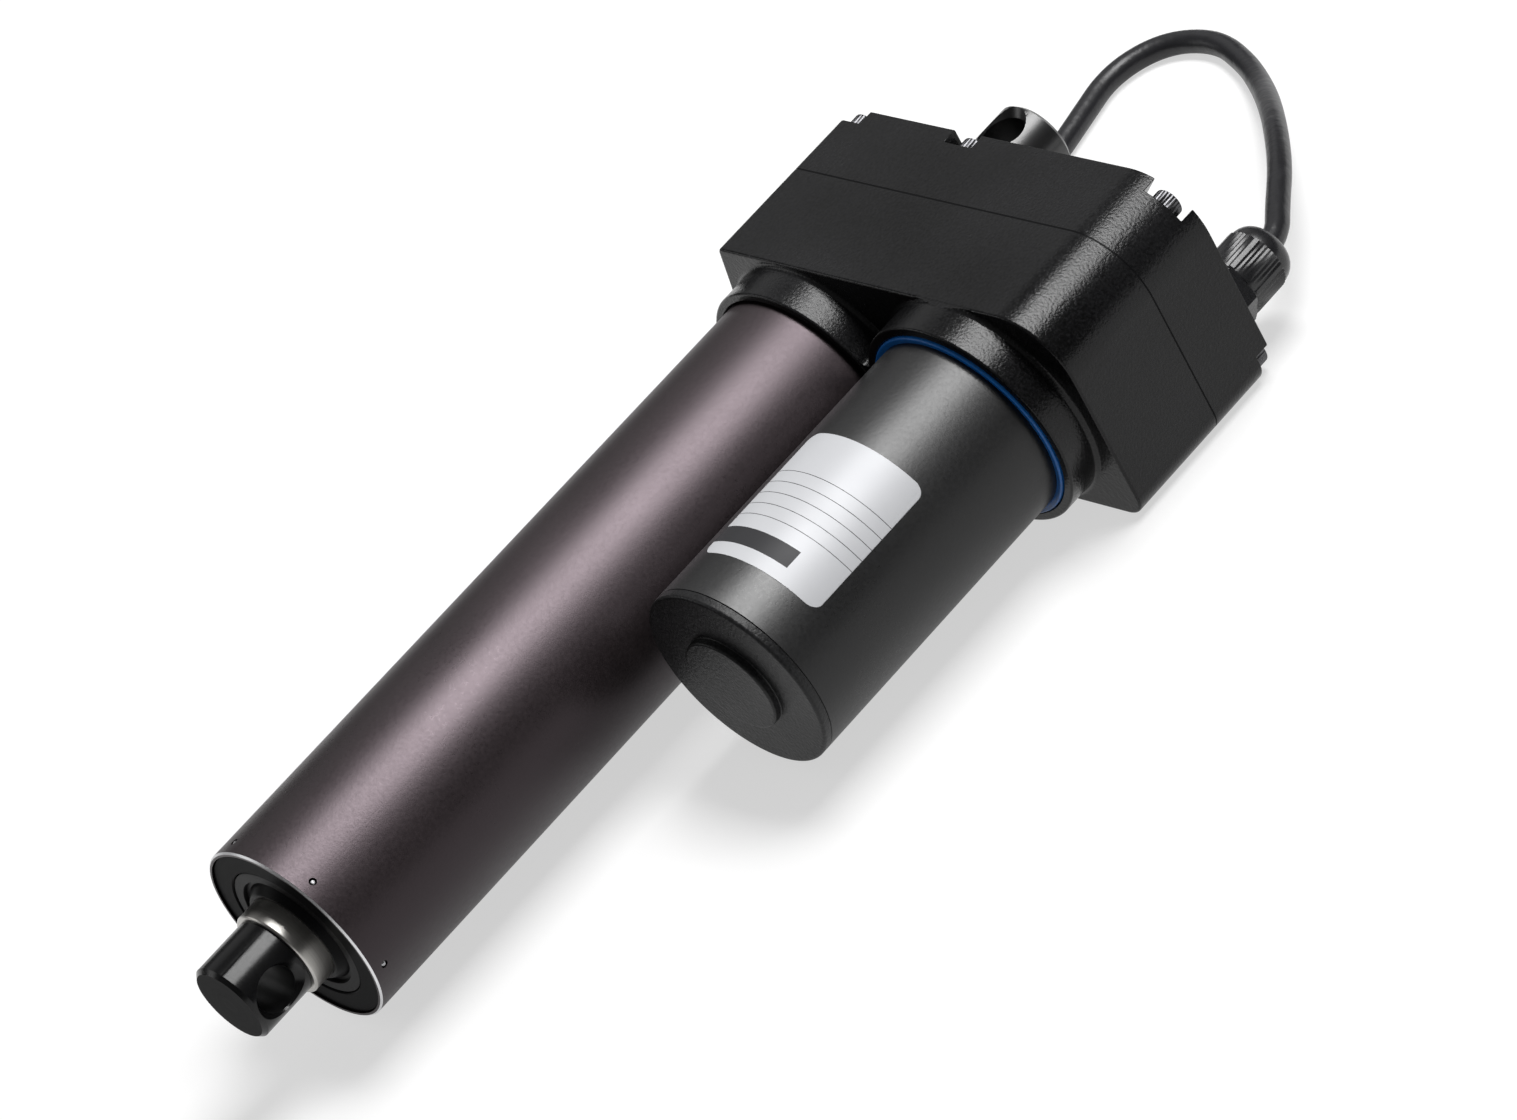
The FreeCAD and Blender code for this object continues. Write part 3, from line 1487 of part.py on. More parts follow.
def build():
    """Make every sub-part."""
    node("front_housing", front_housing())
    node("rear_cover", rear_cover())
    node("housing_gasket", housing_gasket())
    node("cover_screws", cover_screws())
    node("rear_clevis", rear_clevis())

    pin_reach = size.cap_pin_length
    hole_radius = size.cap_pin_radius + size.fit_play
    hole_top = size.tube_radius + size.tube_chamfer
    hole_reach = pin_reach + size.tube_chamfer
    node("cover_tube", cover_tube(radial_pins("tube_pin_holes", hole_radius, hole_top, hole_reach)))
    node("front_cap", front_cap(radial_pins("cap_pin_holes", hole_radius, hole_top, hole_reach)))
    node("cap_pins", radial_pins("cap_pins", size.cap_pin_radius, size.tube_radius, pin_reach))
    groove_start = cap_rear + size.ring_groove_back
    groove_end = groove_start + size.ring_groove_width
    groove = tube_bore - size.ring_groove_depth
    node("cap_o_ring", turned("cap_o_ring", tube(groove_start, groove_end, groove, tube_bore)))
    ring_end = collar_front - size.tube_seat / 2
    ring_start = ring_end - size.tube_ring_width
    ring_top = size.tube_radius + size.tube_ring_depth
    node("tube_o_ring", turned("tube_o_ring", tube(ring_start, ring_end, size.tube_radius, ring_top)))
    bush_end = cap_seat - size.cap_web
    bush_bore = size.rod_radius + size.run_play
    node("guide_bush", turned("guide_bush", tube(cap_rear, bush_end, bush_bore, bush_radius)))
    node("rod_wiper", rod_wiper())

    node("push_rod", push_rod())
    node("rod_end", rod_end())
    node("ball_nut", ball_nut())
    node("nut_guide_ring", guide_ring())

    node("ball_screw", ball_screw())
    inner, outer = bearing_races()
    node("screw_bearing_inner", inner)
    node("screw_bearing_outer", outer)
    node("screw_bearing_balls", bearing_balls())
    ring_nut = tube(bearing_end, tube_start, size.ring_nut_bore, ring_nut_radius)
    node("bearing_ring_nut", turned("bearing_ring_nut", ring_nut))
    rear_bush = tube(clevis_end, rear_bush_end, size.journal_radius + size.run_play,
                     size.journal_radius + size.rear_bush_wall)
    node("rear_screw_bush", turned("rear_screw_bush", rear_bush))
    node("output_gear", output_gear())
    node("gear_key", key_block("gear_key", 0))
    node("gear_spacer", gear_spacer())
    lock_bore = size.journal_radius + size.fit_play
    lock_nut = tube(lock_nut_start, output_gear_start, lock_bore, size.lock_nut_radius)
    node("gear_lock_nut", turned("gear_lock_nut", lock_nut))

    axle_start = rear_bush_end - size.idler_axle_hold
    axle_end = idler_gear_end + size.stage_gap + size.idler_axle_hold
    node("idler_axle", rod_shape("idler_axle", (axle_start, idler_y, 0), size.idler_axle_radius,
                                 axle_end - axle_start))
    wheel, pinion = idler_gears()
    node("idler_gear", wheel)
    node("idler_pinion", pinion)
    bush_start = rear_bush_end + size.idler_end_play
    bush_end = idler_gear_end + size.stage_gap - size.idler_end_play
    idler_bush = tube(bush_start, bush_end, size.idler_axle_radius + size.run_play,
                      size.idler_axle_radius + size.idler_bush_wall)
    node("idler_bush", turned("idler_bush", idler_bush, idler_y))

    can = tube(motor_seat, motor_end, motor_bore, size.motor_radius)
    node("motor_can", turned("motor_can", can, motor_y))
    node("motor_end_cap", motor_end_cap())
    node("motor_flange", motor_flange())
    node("motor_front_bearing", motor_bearing("motor_front_bearing", motor_seat - size.motor_bearing_width))
    rear_bearing = nub_face - size.motor_nub_wall - size.motor_bearing_width
    node("motor_rear_bearing", motor_bearing("motor_rear_bearing", rear_bearing))
    node("motor_magnets", motor_magnets())
    node("motor_screws", motor_screws())
    seal_end = collar_front + size.motor_seal_proud
    seal_start = seal_end - size.motor_seal_length
    seal = tube(seal_start, seal_end, size.motor_radius + size.fit_play, seal_radius)
    node("motor_seal", turned("motor_seal", seal, motor_y))
    node("brush_plate", brush_plate())
    node("carbon_brushes", carbon_brushes())

    node("rotor_shaft", rotor_shaft())
    node("armature_core", armature_core())
    node("armature_windings", armature_windings())
    shaft_fit = size.motor_shaft_radius + size.fit_play
    commutator = tube(commutator_start, commutator_end, shaft_fit, size.commutator_radius)
    node("commutator", turned("commutator", commutator, motor_y))
    node("motor_pinion", motor_pinion())

    node("terminal_board", terminal_board())
    node("board_screws", board_screws())
    node("terminal_block", terminal_block())
    node("inner_wires", inner_wires())
    node("gland_body", gland_body())
    node("gland_nut", gland_nut())
    node("gland_seal", gland_seal())
    node("cable_lead", cable_lead())
    node("cable_hank", cable_hank())
    node("cable_strap", cable_strap())
    node("cable_cores", cable_cores())


def export():
    """Check every object and write one STEP file for each sub-part."""
    doc.recompute()
    for item in doc.Objects:
        if "Invalid" in item.State or "Error" in item.State:
            raise RuntimeError(f"{item.Label} did not build: {item.State}")
    os.makedirs("parts", exist_ok=True)
    for item in NODES:
        if item.Shape.isNull() or not item.Shape.isValid():
            raise RuntimeError(f"{item.Label} has no valid shape")
        item.Shape.exportStep(f"parts/{item.Label}.step")
        print(f"{item.Label}: {len(item.Shape.Solids)} solid(s), {item.Shape.Volume:.0f} mm3")


build()
export()
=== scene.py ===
import json
import math
from contextlib import contextmanager

import bmesh
import bpy
from mathutils import Matrix, Vector


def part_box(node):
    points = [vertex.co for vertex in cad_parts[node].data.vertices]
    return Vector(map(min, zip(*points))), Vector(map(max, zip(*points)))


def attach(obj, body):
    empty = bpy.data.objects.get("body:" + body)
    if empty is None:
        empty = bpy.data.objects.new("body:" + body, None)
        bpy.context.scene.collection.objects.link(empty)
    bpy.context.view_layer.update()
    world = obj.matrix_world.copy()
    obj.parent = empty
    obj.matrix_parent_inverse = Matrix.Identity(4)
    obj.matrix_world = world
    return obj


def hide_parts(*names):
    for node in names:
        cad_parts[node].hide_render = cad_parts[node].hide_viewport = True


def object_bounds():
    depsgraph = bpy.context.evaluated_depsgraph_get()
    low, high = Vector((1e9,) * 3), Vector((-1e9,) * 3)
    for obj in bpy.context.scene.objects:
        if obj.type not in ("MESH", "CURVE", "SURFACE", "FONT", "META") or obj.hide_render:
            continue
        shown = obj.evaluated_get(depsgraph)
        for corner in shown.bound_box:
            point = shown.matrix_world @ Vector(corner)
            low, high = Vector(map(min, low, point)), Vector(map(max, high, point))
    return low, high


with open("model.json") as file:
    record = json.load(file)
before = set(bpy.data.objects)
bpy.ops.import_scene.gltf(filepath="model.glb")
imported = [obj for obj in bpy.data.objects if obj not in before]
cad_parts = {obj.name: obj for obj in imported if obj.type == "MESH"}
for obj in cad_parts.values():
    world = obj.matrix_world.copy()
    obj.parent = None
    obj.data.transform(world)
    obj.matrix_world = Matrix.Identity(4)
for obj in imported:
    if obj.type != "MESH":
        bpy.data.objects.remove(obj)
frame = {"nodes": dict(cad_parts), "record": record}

bl_info = {
    "name": "Linear actuator",
    "version": (1, 0, 0),
    "blender": (4, 5, 0),
    "location": "3D View > Sidebar > Actuator",
    "description": "Dresses the packed model of an electric linear actuator",
    "category": "Object",
}

# Metres, in the model's own frame: X along the rod, Y from screw to motor, Z up

CAD_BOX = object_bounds()
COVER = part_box("rear_cover")
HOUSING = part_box("front_housing")
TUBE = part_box("cover_tube")
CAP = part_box("front_cap")
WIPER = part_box("rod_wiper")
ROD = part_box("push_rod")
ROD_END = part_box("rod_end")
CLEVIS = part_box("rear_clevis")
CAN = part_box("motor_can")
MOTOR_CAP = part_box("motor_end_cap")
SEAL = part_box("motor_seal")
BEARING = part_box("screw_bearing_outer")
RING_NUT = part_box("bearing_ring_nut")
GLAND_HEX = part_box("gland_body")
GLAND_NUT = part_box("gland_nut")

REAR_FACE = COVER[0][0]
PARTING = COVER[1][0]
CASE_START = HOUSING[0][0]
COLLAR_FRONT = HOUSING[1][0]
CASE_TOP = COVER[1][2]
CASE_SIDE = COVER[1][1]
TUBE_FRONT = TUBE[1][0]
TUBE_RADIUS = TUBE[1][2]
ROD_RADIUS = ROD[1][2]
CAN_RADIUS = CAN[1][2]
SEAL_RADIUS = SEAL[1][2]
BEARING_RADIUS = BEARING[1][2]
SCREW_AXIS = (0.0, 0.0)
MOTOR_AXIS = ((CAN[0][1] + CAN[1][1]) / 2, 0.0)
GLAND_AXIS = ((GLAND_NUT[0][1] + GLAND_NUT[1][1]) / 2, (GLAND_NUT[0][2] + GLAND_NUT[1][2]) / 2)
FLOOR = CAD_BOX[0][2]


def mm(value):
    """Millimetres as metres."""
    return value / 1000


def linear(code):
    """An sRGB hex colour as linear values."""
    values = [int(code[place:place + 2], 16) / 255 for place in (1, 3, 5)]
    return tuple(v / 12.92 if v <= 0.04045 else ((v + 0.055) / 1.055) ** 2.4 for v in values)


def length(name, description, millimetres):
    """A size that a user can change."""
    return bpy.props.FloatProperty(name=name, description=description, default=mm(millimetres),
                                   min=0.0, unit="LENGTH")


def colour(name, description, code):
    """A colour that a user can change."""
    return bpy.props.FloatVectorProperty(name=name, description=description, default=linear(code),
                                         min=0.0, max=1.0, size=3, subtype="COLOR")


class ActuatorSizes(bpy.types.PropertyGroup):
    """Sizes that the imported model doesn't give by itself."""

    tip: length("V tip", "Screw axis to the sharp tip of the case's V end", 36)
    slant: length("V slant", "How far the V end falls back at top and bottom", 9.5)
    shoulder: length("Shoulder radius", "Round upper corner on the motor side", 20)
    foot: length("Foot radius", "Lower corner on the motor side", 7)
    corner: length("V corner radius", "Corners at top and bottom of the V end", 2)
    tip_round: length("V tip radius", "Round tip of the V end", 8)
    case_edge: length("Case edge", "Rounding of the casting's front edges", 0.8)
    parting_edge: length("Parting edge", "Rounding beside the parting line", 0.06)
    gasket_inset: length("Gasket inset", "Edge of the seal below the case's outer faces", 0.05)
    wall: length("Case wall", "Side wall of the gear case", 5)
    rear_wall: length("Rear wall", "Rear wall of the gear case", 7.5)
    front_wall: length("Front wall", "Front wall of the gear case", 6)
    collar_reach: length("Collar reach", "How far the collars stand out of the case", 11)
    collar_wall: length("Collar wall", "Wall round the tube and round the motor's seal", 3)
    collar_root: length("Collar root", "Fillet where a collar meets the case", 1.6)
    collar_edge: length("Collar edge", "Rounding of a collar's mouth", 0.7)
    valley: length("Valley radius", "Fillet between the two collars", 2)
    pocket: length("Pocket half width", "Recess round a screw head", 5.4)
    pocket_depth: length("Pocket depth", "Recess for a screw head", 5)
    corner_pocket: length("Corner pocket half width", "Slanting recess at a corner", 6.5)
    end_pocket: length("End pocket wall", "Screw axis to the wall of the end recesses", 18.5)
    pocket_edge: length("Pocket edge", "Rounding of the rear face's and the recesses' edges", 0.35)
    screw_inset: length("Screw inset", "Screw axis to the nearest outer face", 6)
    mid_screw: length("Middle screws", "Screw axis to the middle pair of screws", 21.6)
    end_screw: length("End screws", "Screw axis to the pair near the V", 23)
    screw_head: length("Screw head radius", "Head of a cover screw", 4.25)
    screw_shank: length("Screw shank radius", "Thread of a cover screw", 2.5)
    screw_length: length("Screw length", "Under the head of a cover screw", 34)
    screw_socket: length("Screw socket", "Hexagon socket across corners", 4.6)
    eye_edge: length("Eye chamfer", "Chamfer at the end of an eye", 1.2)
    pin_hole: length("Pin hole radius", "Cross hole of an eye", 6.5)
    tube_edge: length("Tube chamfer", "Bright chamfer at the tube's rim", 0.5)
    pin_back: length("Pin place", "Cap pins behind the tube's rim", 4.4)
    pin_radius: length("Pin radius", "Spring pin that holds the cap", 0.9)
    nub: length("Nub radius", "Raised disc on the motor's end cap", 15.3)
    nub_height: length("Nub height", "Raised disc on the motor's end cap", 2.5)
    plate_start: length("Plate start", "Rear pin hole to the near edge of the plate", 131)
    plate_length: length("Plate length", "Plate along the motor", 47)
    plate_corner: length("Plate corner", "Corner radius of the plate", 3)
    cable: length("Cable diameter", "Outer diameter of the lead", 7)
    fold: length("Fold radius", "Middle of the cable at a fold of the hank", 21)


class ActuatorColours(bpy.types.PropertyGroup):
    """Colours of the visible finishes."""

    coat: colour("Powder coat", "Gear case", "#151516")
    cast: colour("Cast cap", "Motor end cap", "#19191a")
    tube: colour("Tube", "Anodised cover tube", "#171313")
    tube_sheen: colour("Tube sheen", "Tint of the tube's highlight", "#e0cdd6")
    enamel: colour("Motor enamel", "Motor can", "#0f0f10")
    oxide: colour("Black oxide", "Eyes at the two ends", "#0f0f10")
    rubber: colour("Rubber", "Wiper and rings", "#101011")
    seal: colour("Seal", "Blue seal round the motor", "#1672c9")
    pvc: colour("Cable sheath", "Lead", "#1d1d20")
    nylon: colour("Nylon", "Cable gland", "#1c1c1e")
    foil: colour("Foil", "Rating plate", "#cfd0d3")
    ink: colour("Ink", "Rules and band on the plate", "#3a3a3c")
    floor: colour("Floor", "Plain pale floor", "#adadad")


def scene_sizes():
    """The sizes as they are set in the scene."""
    return bpy.context.scene.actuator_sizes


# Finishes

SPOT_DETAIL = 3.0
BROAD_DETAIL = 2.0
# Size of the broad cloudiness, in grains
BROAD_GRAINS = 60
# The two noises together, from the darkest to the lightest
NOISE_LOW, NOISE_HIGH = 0.7, 1.3
# How far a drawn surface spreads the light round its piece
DRAWN_SPREAD = 0.85


def set_inputs(tree, node, values):
    """Fill a node's inputs; a value is a number or colour to set, or a socket to link."""
    for name, value in values.items():
        if isinstance(value, bpy.types.NodeSocket):
            tree.links.new(value, node.inputs[name])
        else:
            node.inputs[name].default_value = value


def add_node(tree, kind, values=None, **settings):
    """Add a node with its settings and inputs."""
    node = tree.nodes.new(kind)
    for name, setting in settings.items():
        setattr(node, name, setting)
    set_inputs(tree, node, values or {})
    return node


def maths(tree, operation, *values):
    """The result of one sum."""
    return add_node(tree, "ShaderNodeMath", dict(enumerate(values)), operation=operation).outputs[0]


def mix(tree, share, first, second):
    """Two colours, mixed."""
    return add_node(tree, "ShaderNodeMix", {0: share, 6: first, 7: second}, data_type="RGBA").outputs[2]


def noise(tree, place, size, detail):
    """Noise with spots of that size."""
    values = {"Vector": place, "Scale": 1 / size, "Detail": detail}
    return add_node(tree, "ShaderNodeTexNoise", values).outputs["Fac"]


def object_place(tree):
    """Where a point lies on its object."""
    return add_node(tree, "ShaderNodeTexCoord").outputs["Object"]


def split(tree, place):
    """The X, Y and Z of a place."""
    return tuple(add_node(tree, "ShaderNodeSeparateXYZ", {"Vector": place}).outputs)


def turning_lines(tree, place):
    """Coordinates that stay the same round the screw axis: the place along it and the distance from it."""
    across = add_node(tree, "ShaderNodeVectorMath", {0: place, 1: (0, 1, 1)}, operation="MULTIPLY")
    radius = add_node(tree, "ShaderNodeVectorMath", {0: across.outputs[0]}, operation="LENGTH")
    along = split(tree, place)[0]
    lines = add_node(tree, "ShaderNodeCombineXYZ", {"X": along, "Y": radius.outputs["Value"]})
    return lines.outputs["Vector"]


def shader_of(material):
    """The node that makes the surface."""
    return material.node_tree.nodes["Principled BSDF"]


def finish(name, dark, light, rough, grain, relief, metallic=0.0, specular=0.5, stretch=(1, 1, 1),
           turned=False):
    """A surface whose colour, roughness and relief vary with its grain; grain and relief in millimetres."""
    material = bpy.data.materials.new(name)
    material.use_nodes = True
    tree = material.node_tree
    place = object_place(tree)
    if turned:
        place = turning_lines(tree, place)
    stretched = add_node(tree, "ShaderNodeMapping", {"Vector": place, "Scale": stretch}).outputs["Vector"]
    spots = noise(tree, stretched, mm(grain), SPOT_DETAIL)
    broad = noise(tree, place, mm(grain) * BROAD_GRAINS, BROAD_DETAIL)
    both = maths(tree, "ADD", spots, broad)
    limits = {"From Min": NOISE_LOW, "From Max": NOISE_HIGH}
    share = add_node(tree, "ShaderNodeMapRange", {"Value": both, **limits}).outputs["Result"]
    matt = add_node(tree, "ShaderNodeMapRange", {"Value": share, "To Min": rough[0], "To Max": rough[1]})
    bump = add_node(tree, "ShaderNodeBump", {"Height": spots, "Distance": mm(relief)})
    set_inputs(tree, shader_of(material), {
        "Base Color": mix(tree, share, (*dark, 1), (*light, 1)),
        "Metallic": metallic,
        "Specular IOR Level": specular,
        "Roughness": matt.outputs["Result"],
        "Normal": bump.outputs["Normal"],
    })
    return material


def drawn(material):
    """Lines along X, as drawing leaves them: the light spreads round the piece more than along it."""
    tree = material.node_tree
    round_x = add_node(tree, "ShaderNodeTangent", direction_type="RADIAL", axis="X").outputs["Tangent"]
    set_inputs(tree, shader_of(material), {"Anisotropic": DRAWN_SPREAD, "Tangent": round_x})
    return material


def tinted(name, tint, shades, rough, grain, relief, **look):
    """A finish in one colour, between a darker and a lighter shade of it."""
    dark, light = [tuple(min(1.0, value * shade) for value in tint) for shade in shades]
    return finish(name, dark, light, rough, grain, relief, **look)


def metal(name, dark, light, rough, grain=0.3, relief=0.004, **look):
    """A bare metal between two hex colours."""
    return finish(name, linear(dark), linear(light), rough, grain, relief, metallic=1.0, **look)


def moulding(name, dark, light, rough, grain=0.6, relief=0.02):
    """A plain plastic or pressing between two hex colours."""
    return finish(name, linear(dark), linear(light), rough, grain, relief)


def case_powder_coat(colours):
    # Baked powder over a casting: an orange peel that breaks the light into points, drawn coarser to show
    return tinted("powder_coat_black", colours.coat, (0.2, 1.8), rough=(0.18, 0.28), grain=0.8, relief=0.1,
                  specular=0.23)


def cap_cast_paint(colours):
    # Matt paint over a rough casting: greyer than the case, its grain drawn coarser to show
    return tinted("cast_paint_black", colours.cast, (0.4, 2.0), rough=(0.36, 0.48), grain=0.9, relief=0.16,
                  specular=0.28)


def tube_bronze_anodise(colours):
    # Blasted and anodised aluminium: satin, nearly black, with a purplish brown sheen
    material = tinted("anodised_aluminium_bronze", colours.tube, (0.8, 1.2), rough=(0.27, 0.34), grain=1,
                      relief=0.02, specular=0.58)
    set_inputs(material.node_tree, shader_of(material), {"Specular Tint": (*colours.tube_sheen, 1)})
    return drawn(material)


def cap_black_anodise(colours):
    # Turned and anodised aluminium: darker and smoother than the tube, with fine turning lines
    return tinted("anodised_aluminium_black", colours.enamel, (0.9, 1.2), rough=(0.3, 0.38), grain=0.35,
                  relief=0.006, specular=0.01, turned=True)


def motor_enamel(colours):
    # Stoved enamel on drawn steel: satin black with a faint grain
    return drawn(tinted("stoved_enamel_black", colours.enamel, (0.85, 1.15), rough=(0.27, 0.33), grain=1,
                        relief=0.03, specular=0.38))


def eye_black_oxide(colours):
    # Machined steel, chemically blacked and oiled: glossy, with a faint mottling
    return tinted("black_oxide_steel", colours.oxide, (0.7, 1.2), rough=(0.2, 0.27), grain=0.8, relief=0.0015,
                  specular=0.28)


def clevis_black_oxide(colours):
    # The same steel, brushed round: a broad bright band where it faces the light
    return tinted("black_oxide_steel_brushed", colours.oxide, (0.7, 1.2), rough=(0.28, 0.36), grain=0.5,
                  relief=0.002, specular=0.9, turned=True)


def bore_black_oxide(colours):
    # The drilled holes in the same steel: duller than the turned outside
    return tinted("black_oxide_steel_drilled", colours.oxide, (0.7, 1.2), rough=(0.4, 0.5), grain=0.8,
                  relief=0.004, specular=0.3)


def end_black_oxide(colours):
    # The faced end of the same steel: duller, with rings that the facing tool left
    return tinted("black_oxide_steel_faced", colours.oxide, (0.6, 1.6), rough=(0.3, 0.42), grain=0.9,
                  relief=0.03, specular=0.01, turned=True)


def rod_ground_stainless():
    # Ground stainless bar: bright, with fine lines round the rod
    return metal("stainless_ground", "#a09e9a", "#c2c0bc", (0.29, 0.36), 0.35, 0.002, turned=True)


def screw_zinc():
    # Zinc-plated steel: pale grey metal with a slight cloudiness
    return metal("zinc_plated_steel", "#4a4a4c", "#646466", (0.26, 0.38))


def seal_blue(colours):
    # Moulded blue seal: soft satin rubber
    return tinted("silicone_blue", colours.seal, (0.8, 1.15), rough=(0.3, 0.42), grain=0.8, relief=0.05,
                  specular=0.4)


def ring_rubber(colours):
    # Moulded nitrile rubber: deep black with a soft shine
    return tinted("nitrile_rubber_black", colours.rubber, (0.8, 1.3), rough=(0.34, 0.46), grain=0.5,
                  relief=0.02, specular=0.05)


def cable_pvc(colours):
    # Extruded PVC sheath: half gloss, with shallow waves where the cores press through
    return tinted("pvc_sheath_black", colours.pvc, (0.85, 1.2), rough=(0.34, 0.42), grain=4, relief=0.25)


def gland_nylon(colours):
    # Moulded nylon: glossy black
    return tinted("nylon_black", colours.nylon, (0.85, 1.2), rough=(0.24, 0.32), grain=0.8, relief=0.01)


# The print on the rating plate, measured back from its front edge
BAND_MIDDLE = mm(7.5)
BAND_HALF = mm(3)
# Where the band stops, from the top of the motor towards the near side
BAND_END = mm(16)
FIRST_RULE = mm(15.5)
RULE_PITCH = mm(4.2)
RULE_MARGIN = mm(0.84)
RULE_HALF = mm(0.1)
RULES = 5


def plate_band(tree, along, across, front):
    """Where the plate's dark band is printed."""
    stripe = maths(tree, "COMPARE", along, front - BAND_MIDDLE, BAND_HALF)
    left = maths(tree, "LESS_THAN", across, MOTOR_AXIS[0] + BAND_END)
    return maths(tree, "MULTIPLY", stripe, left)


def plate_rules(tree, along, front):
    """Where the plate's fine rules are printed."""
    first = front - FIRST_RULE
    steps = RULES - 1
    offset = maths(tree, "SUBTRACT", along, first - steps * RULE_PITCH)
    wave = maths(tree, "PINGPONG", offset, RULE_PITCH / 2)
    rule = maths(tree, "LESS_THAN", wave, RULE_HALF)
    half = steps / 2 * RULE_PITCH
    # A little past the first and the last of them
    within = maths(tree, "COMPARE", along, first - half, half + RULE_MARGIN)
    return maths(tree, "MULTIPLY", rule, within)


def rating_foil(colours):
    """Silver foil with plain rules and one dark band across it, and no words."""
    # Printed polyester foil: pale satin silver that stays bright where it turns away
    material = tinted("printed_foil_silver", colours.foil, (0.97, 1), rough=(0.46, 0.52), grain=0.2,
                      relief=0.002, metallic=0.1, specular=0.2)
    tree = material.node_tree
    shader = shader_of(material)
    silver = shader.inputs["Base Color"].links[0].from_socket
    sizes = scene_sizes()
    front = sizes.plate_start + sizes.plate_length
    along, across = split(tree, object_place(tree))[:2]
    printed = maths(tree, "MAXIMUM", plate_band(tree, along, across, front), plate_rules(tree, along, front))
    set_inputs(tree, shader, {"Base Color": mix(tree, printed, silver, (*colours.ink, 1))})
    return material


SCREW_LEAD = mm(5)
GROOVE_DEPTH = mm(0.6)


def screw_thread_steel():
    """Hardened steel with the right-hand ball groove drawn round it."""
    # Rolled ball screw: polished steel with a round groove at every step of its lead
    material = metal("ball_screw_steel", "#8a8a8c", "#a6a6a8", (0.18, 0.26))
    tree = material.node_tree
    along, across, up = split(tree, object_place(tree))
    angle = maths(tree, "ARCTAN2", up, across)
    turns = maths(tree, "MULTIPLY", along, 2 * math.pi / SCREW_LEAD)
    groove = maths(tree, "SINE", maths(tree, "SUBTRACT", turns, angle))
    bump = add_node(tree, "ShaderNodeBump", {"Height": groove, "Distance": GROOVE_DEPTH})
    set_inputs(tree, shader_of(material), {"Normal": bump.outputs["Normal"]})
    return material


def all_finishes():
    """One finish for each material slot of the record."""
    colours = bpy.context.scene.actuator_colours
    return {
        "powder_coated_casting": case_powder_coat(colours),
        "black_cast_cap": cap_cast_paint(colours),
        "bronze_anodised_tube": tube_bronze_anodise(colours),
        "black_anodised_cap": cap_black_anodise(colours),
        "bare_aluminium": metal("aluminium_turned", "#d0d0d2", "#e6e6e8", (0.32, 0.42)),
        "black_motor_enamel": motor_enamel(colours),
        "black_oxide_steel": eye_black_oxide(colours),
        "ground_stainless": rod_ground_stainless(),
        "zinc_plated_steel": screw_zinc(),
        "bearing_steel": metal("bearing_steel_ground", "#8c8c8e", "#a9a9ab", (0.16, 0.24)),
        "gear_steel": metal("gear_steel_cut", "#76767a", "#929296", (0.28, 0.38), stretch=(0.1, 1, 1)),
        "lamination_steel": metal("lamination_steel", "#6a6868", "#858383", (0.35, 0.45), 0.5,
                                  stretch=(8, 0.1, 0.1)),
        "ferrite": moulding("ferrite_sintered", "#2a2a2c", "#3a3a3d", (0.5, 0.6)),
        "bronze_bush": metal("bronze_sintered", "#8a6a3c", "#b08a52", (0.35, 0.45)),
        "copper": metal("copper_enamelled_wire", "#8c4a2c", "#bf6b40", (0.25, 0.35), 0.5),
        "black_rubber": ring_rubber(colours),
        "blue_seal": seal_blue(colours),
        "white_acetal": moulding("acetal_white", "#d6d4cd", "#e6e4de", (0.35, 0.45)),
        "carbon": moulding("carbon_pressed", "#1e1e20", "#2e2e31", (0.4, 0.5)),
        "phenolic": moulding("phenolic_brown", "#4a2f1c", "#63402a", (0.35, 0.45)),
        "green_board": moulding("glass_epoxy_green", "#1f5a34", "#2c6e43", (0.3, 0.4), 0.4),
        "grey_terminal": moulding("polyamide_grey", "#77797c", "#8b8d90", (0.35, 0.45)),
        "black_nylon": gland_nylon(colours),
        "black_pvc": cable_pvc(colours),
        "black_strap": moulding("hook_strap_black", "#141416", "#232326", (0.6, 0.8), 0.5),
        "core_insulation": moulding("core_insulation_brown", "#4a2a1c", "#5e3826", (0.35, 0.45)),
    }


FINISHES = {}


def coat(piece, material):
    """Give a whole piece one finish."""
    piece.data.materials.clear()
    piece.data.materials.append(material)


def part_finish(piece, material, test):
    """Another finish on the faces that pass the test."""
    piece.data.materials.append(material)
    for face in piece.data.polygons:
        if test(face):
            face.material_index = len(piece.data.materials) - 1


def dress(piece, slot, *nodes, body="actuator"):
    """Give a finished piece its finish and its body, and hide the nodes that it stands for."""
    coat(piece, FINISHES[slot])
    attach(piece, body)
    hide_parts(*nodes)
    return piece


# Modelling

ROUND_SIDES = 160
FINE_SIDES = 192
HOLE_SIDES = 96
GLAND_SIDES = 64
HEXAGON = 6
EDGE_STEPS = 2
# Edges sharper than this are rounded, and stay edges in the shading
SHARP = math.radians(32)
# Points this near to each other count as one
DOUBLE = mm(0.0005)
# Points this near to a place or a plane count as lying there
NEAR = mm(0.02)


def start():
    """Object mode with nothing selected."""
    if bpy.context.mode != "OBJECT":
        bpy.ops.object.mode_set(mode="OBJECT")
    bpy.ops.object.select_all(action="DESELECT")


def work_on(piece):
    """Make the piece the only one selected."""
    start()
    piece.select_set(True)
    bpy.context.view_layer.objects.active = piece


@contextmanager
def editing(piece):
    """Edit mode on one piece, with all of it selected."""
    work_on(piece)
    bpy.ops.object.mode_set(mode="EDIT")
    bpy.ops.mesh.select_all(action="SELECT")
    yield
    bpy.ops.object.mode_set(mode="OBJECT")


def fix_place():
    """Put the place of the piece in hand into its mesh."""
    bpy.ops.object.transform_apply(location=True, rotation=True, scale=True)


def named(name):
    """Name the piece that was just added."""
    piece = bpy.context.object
    piece.name = name
    return piece


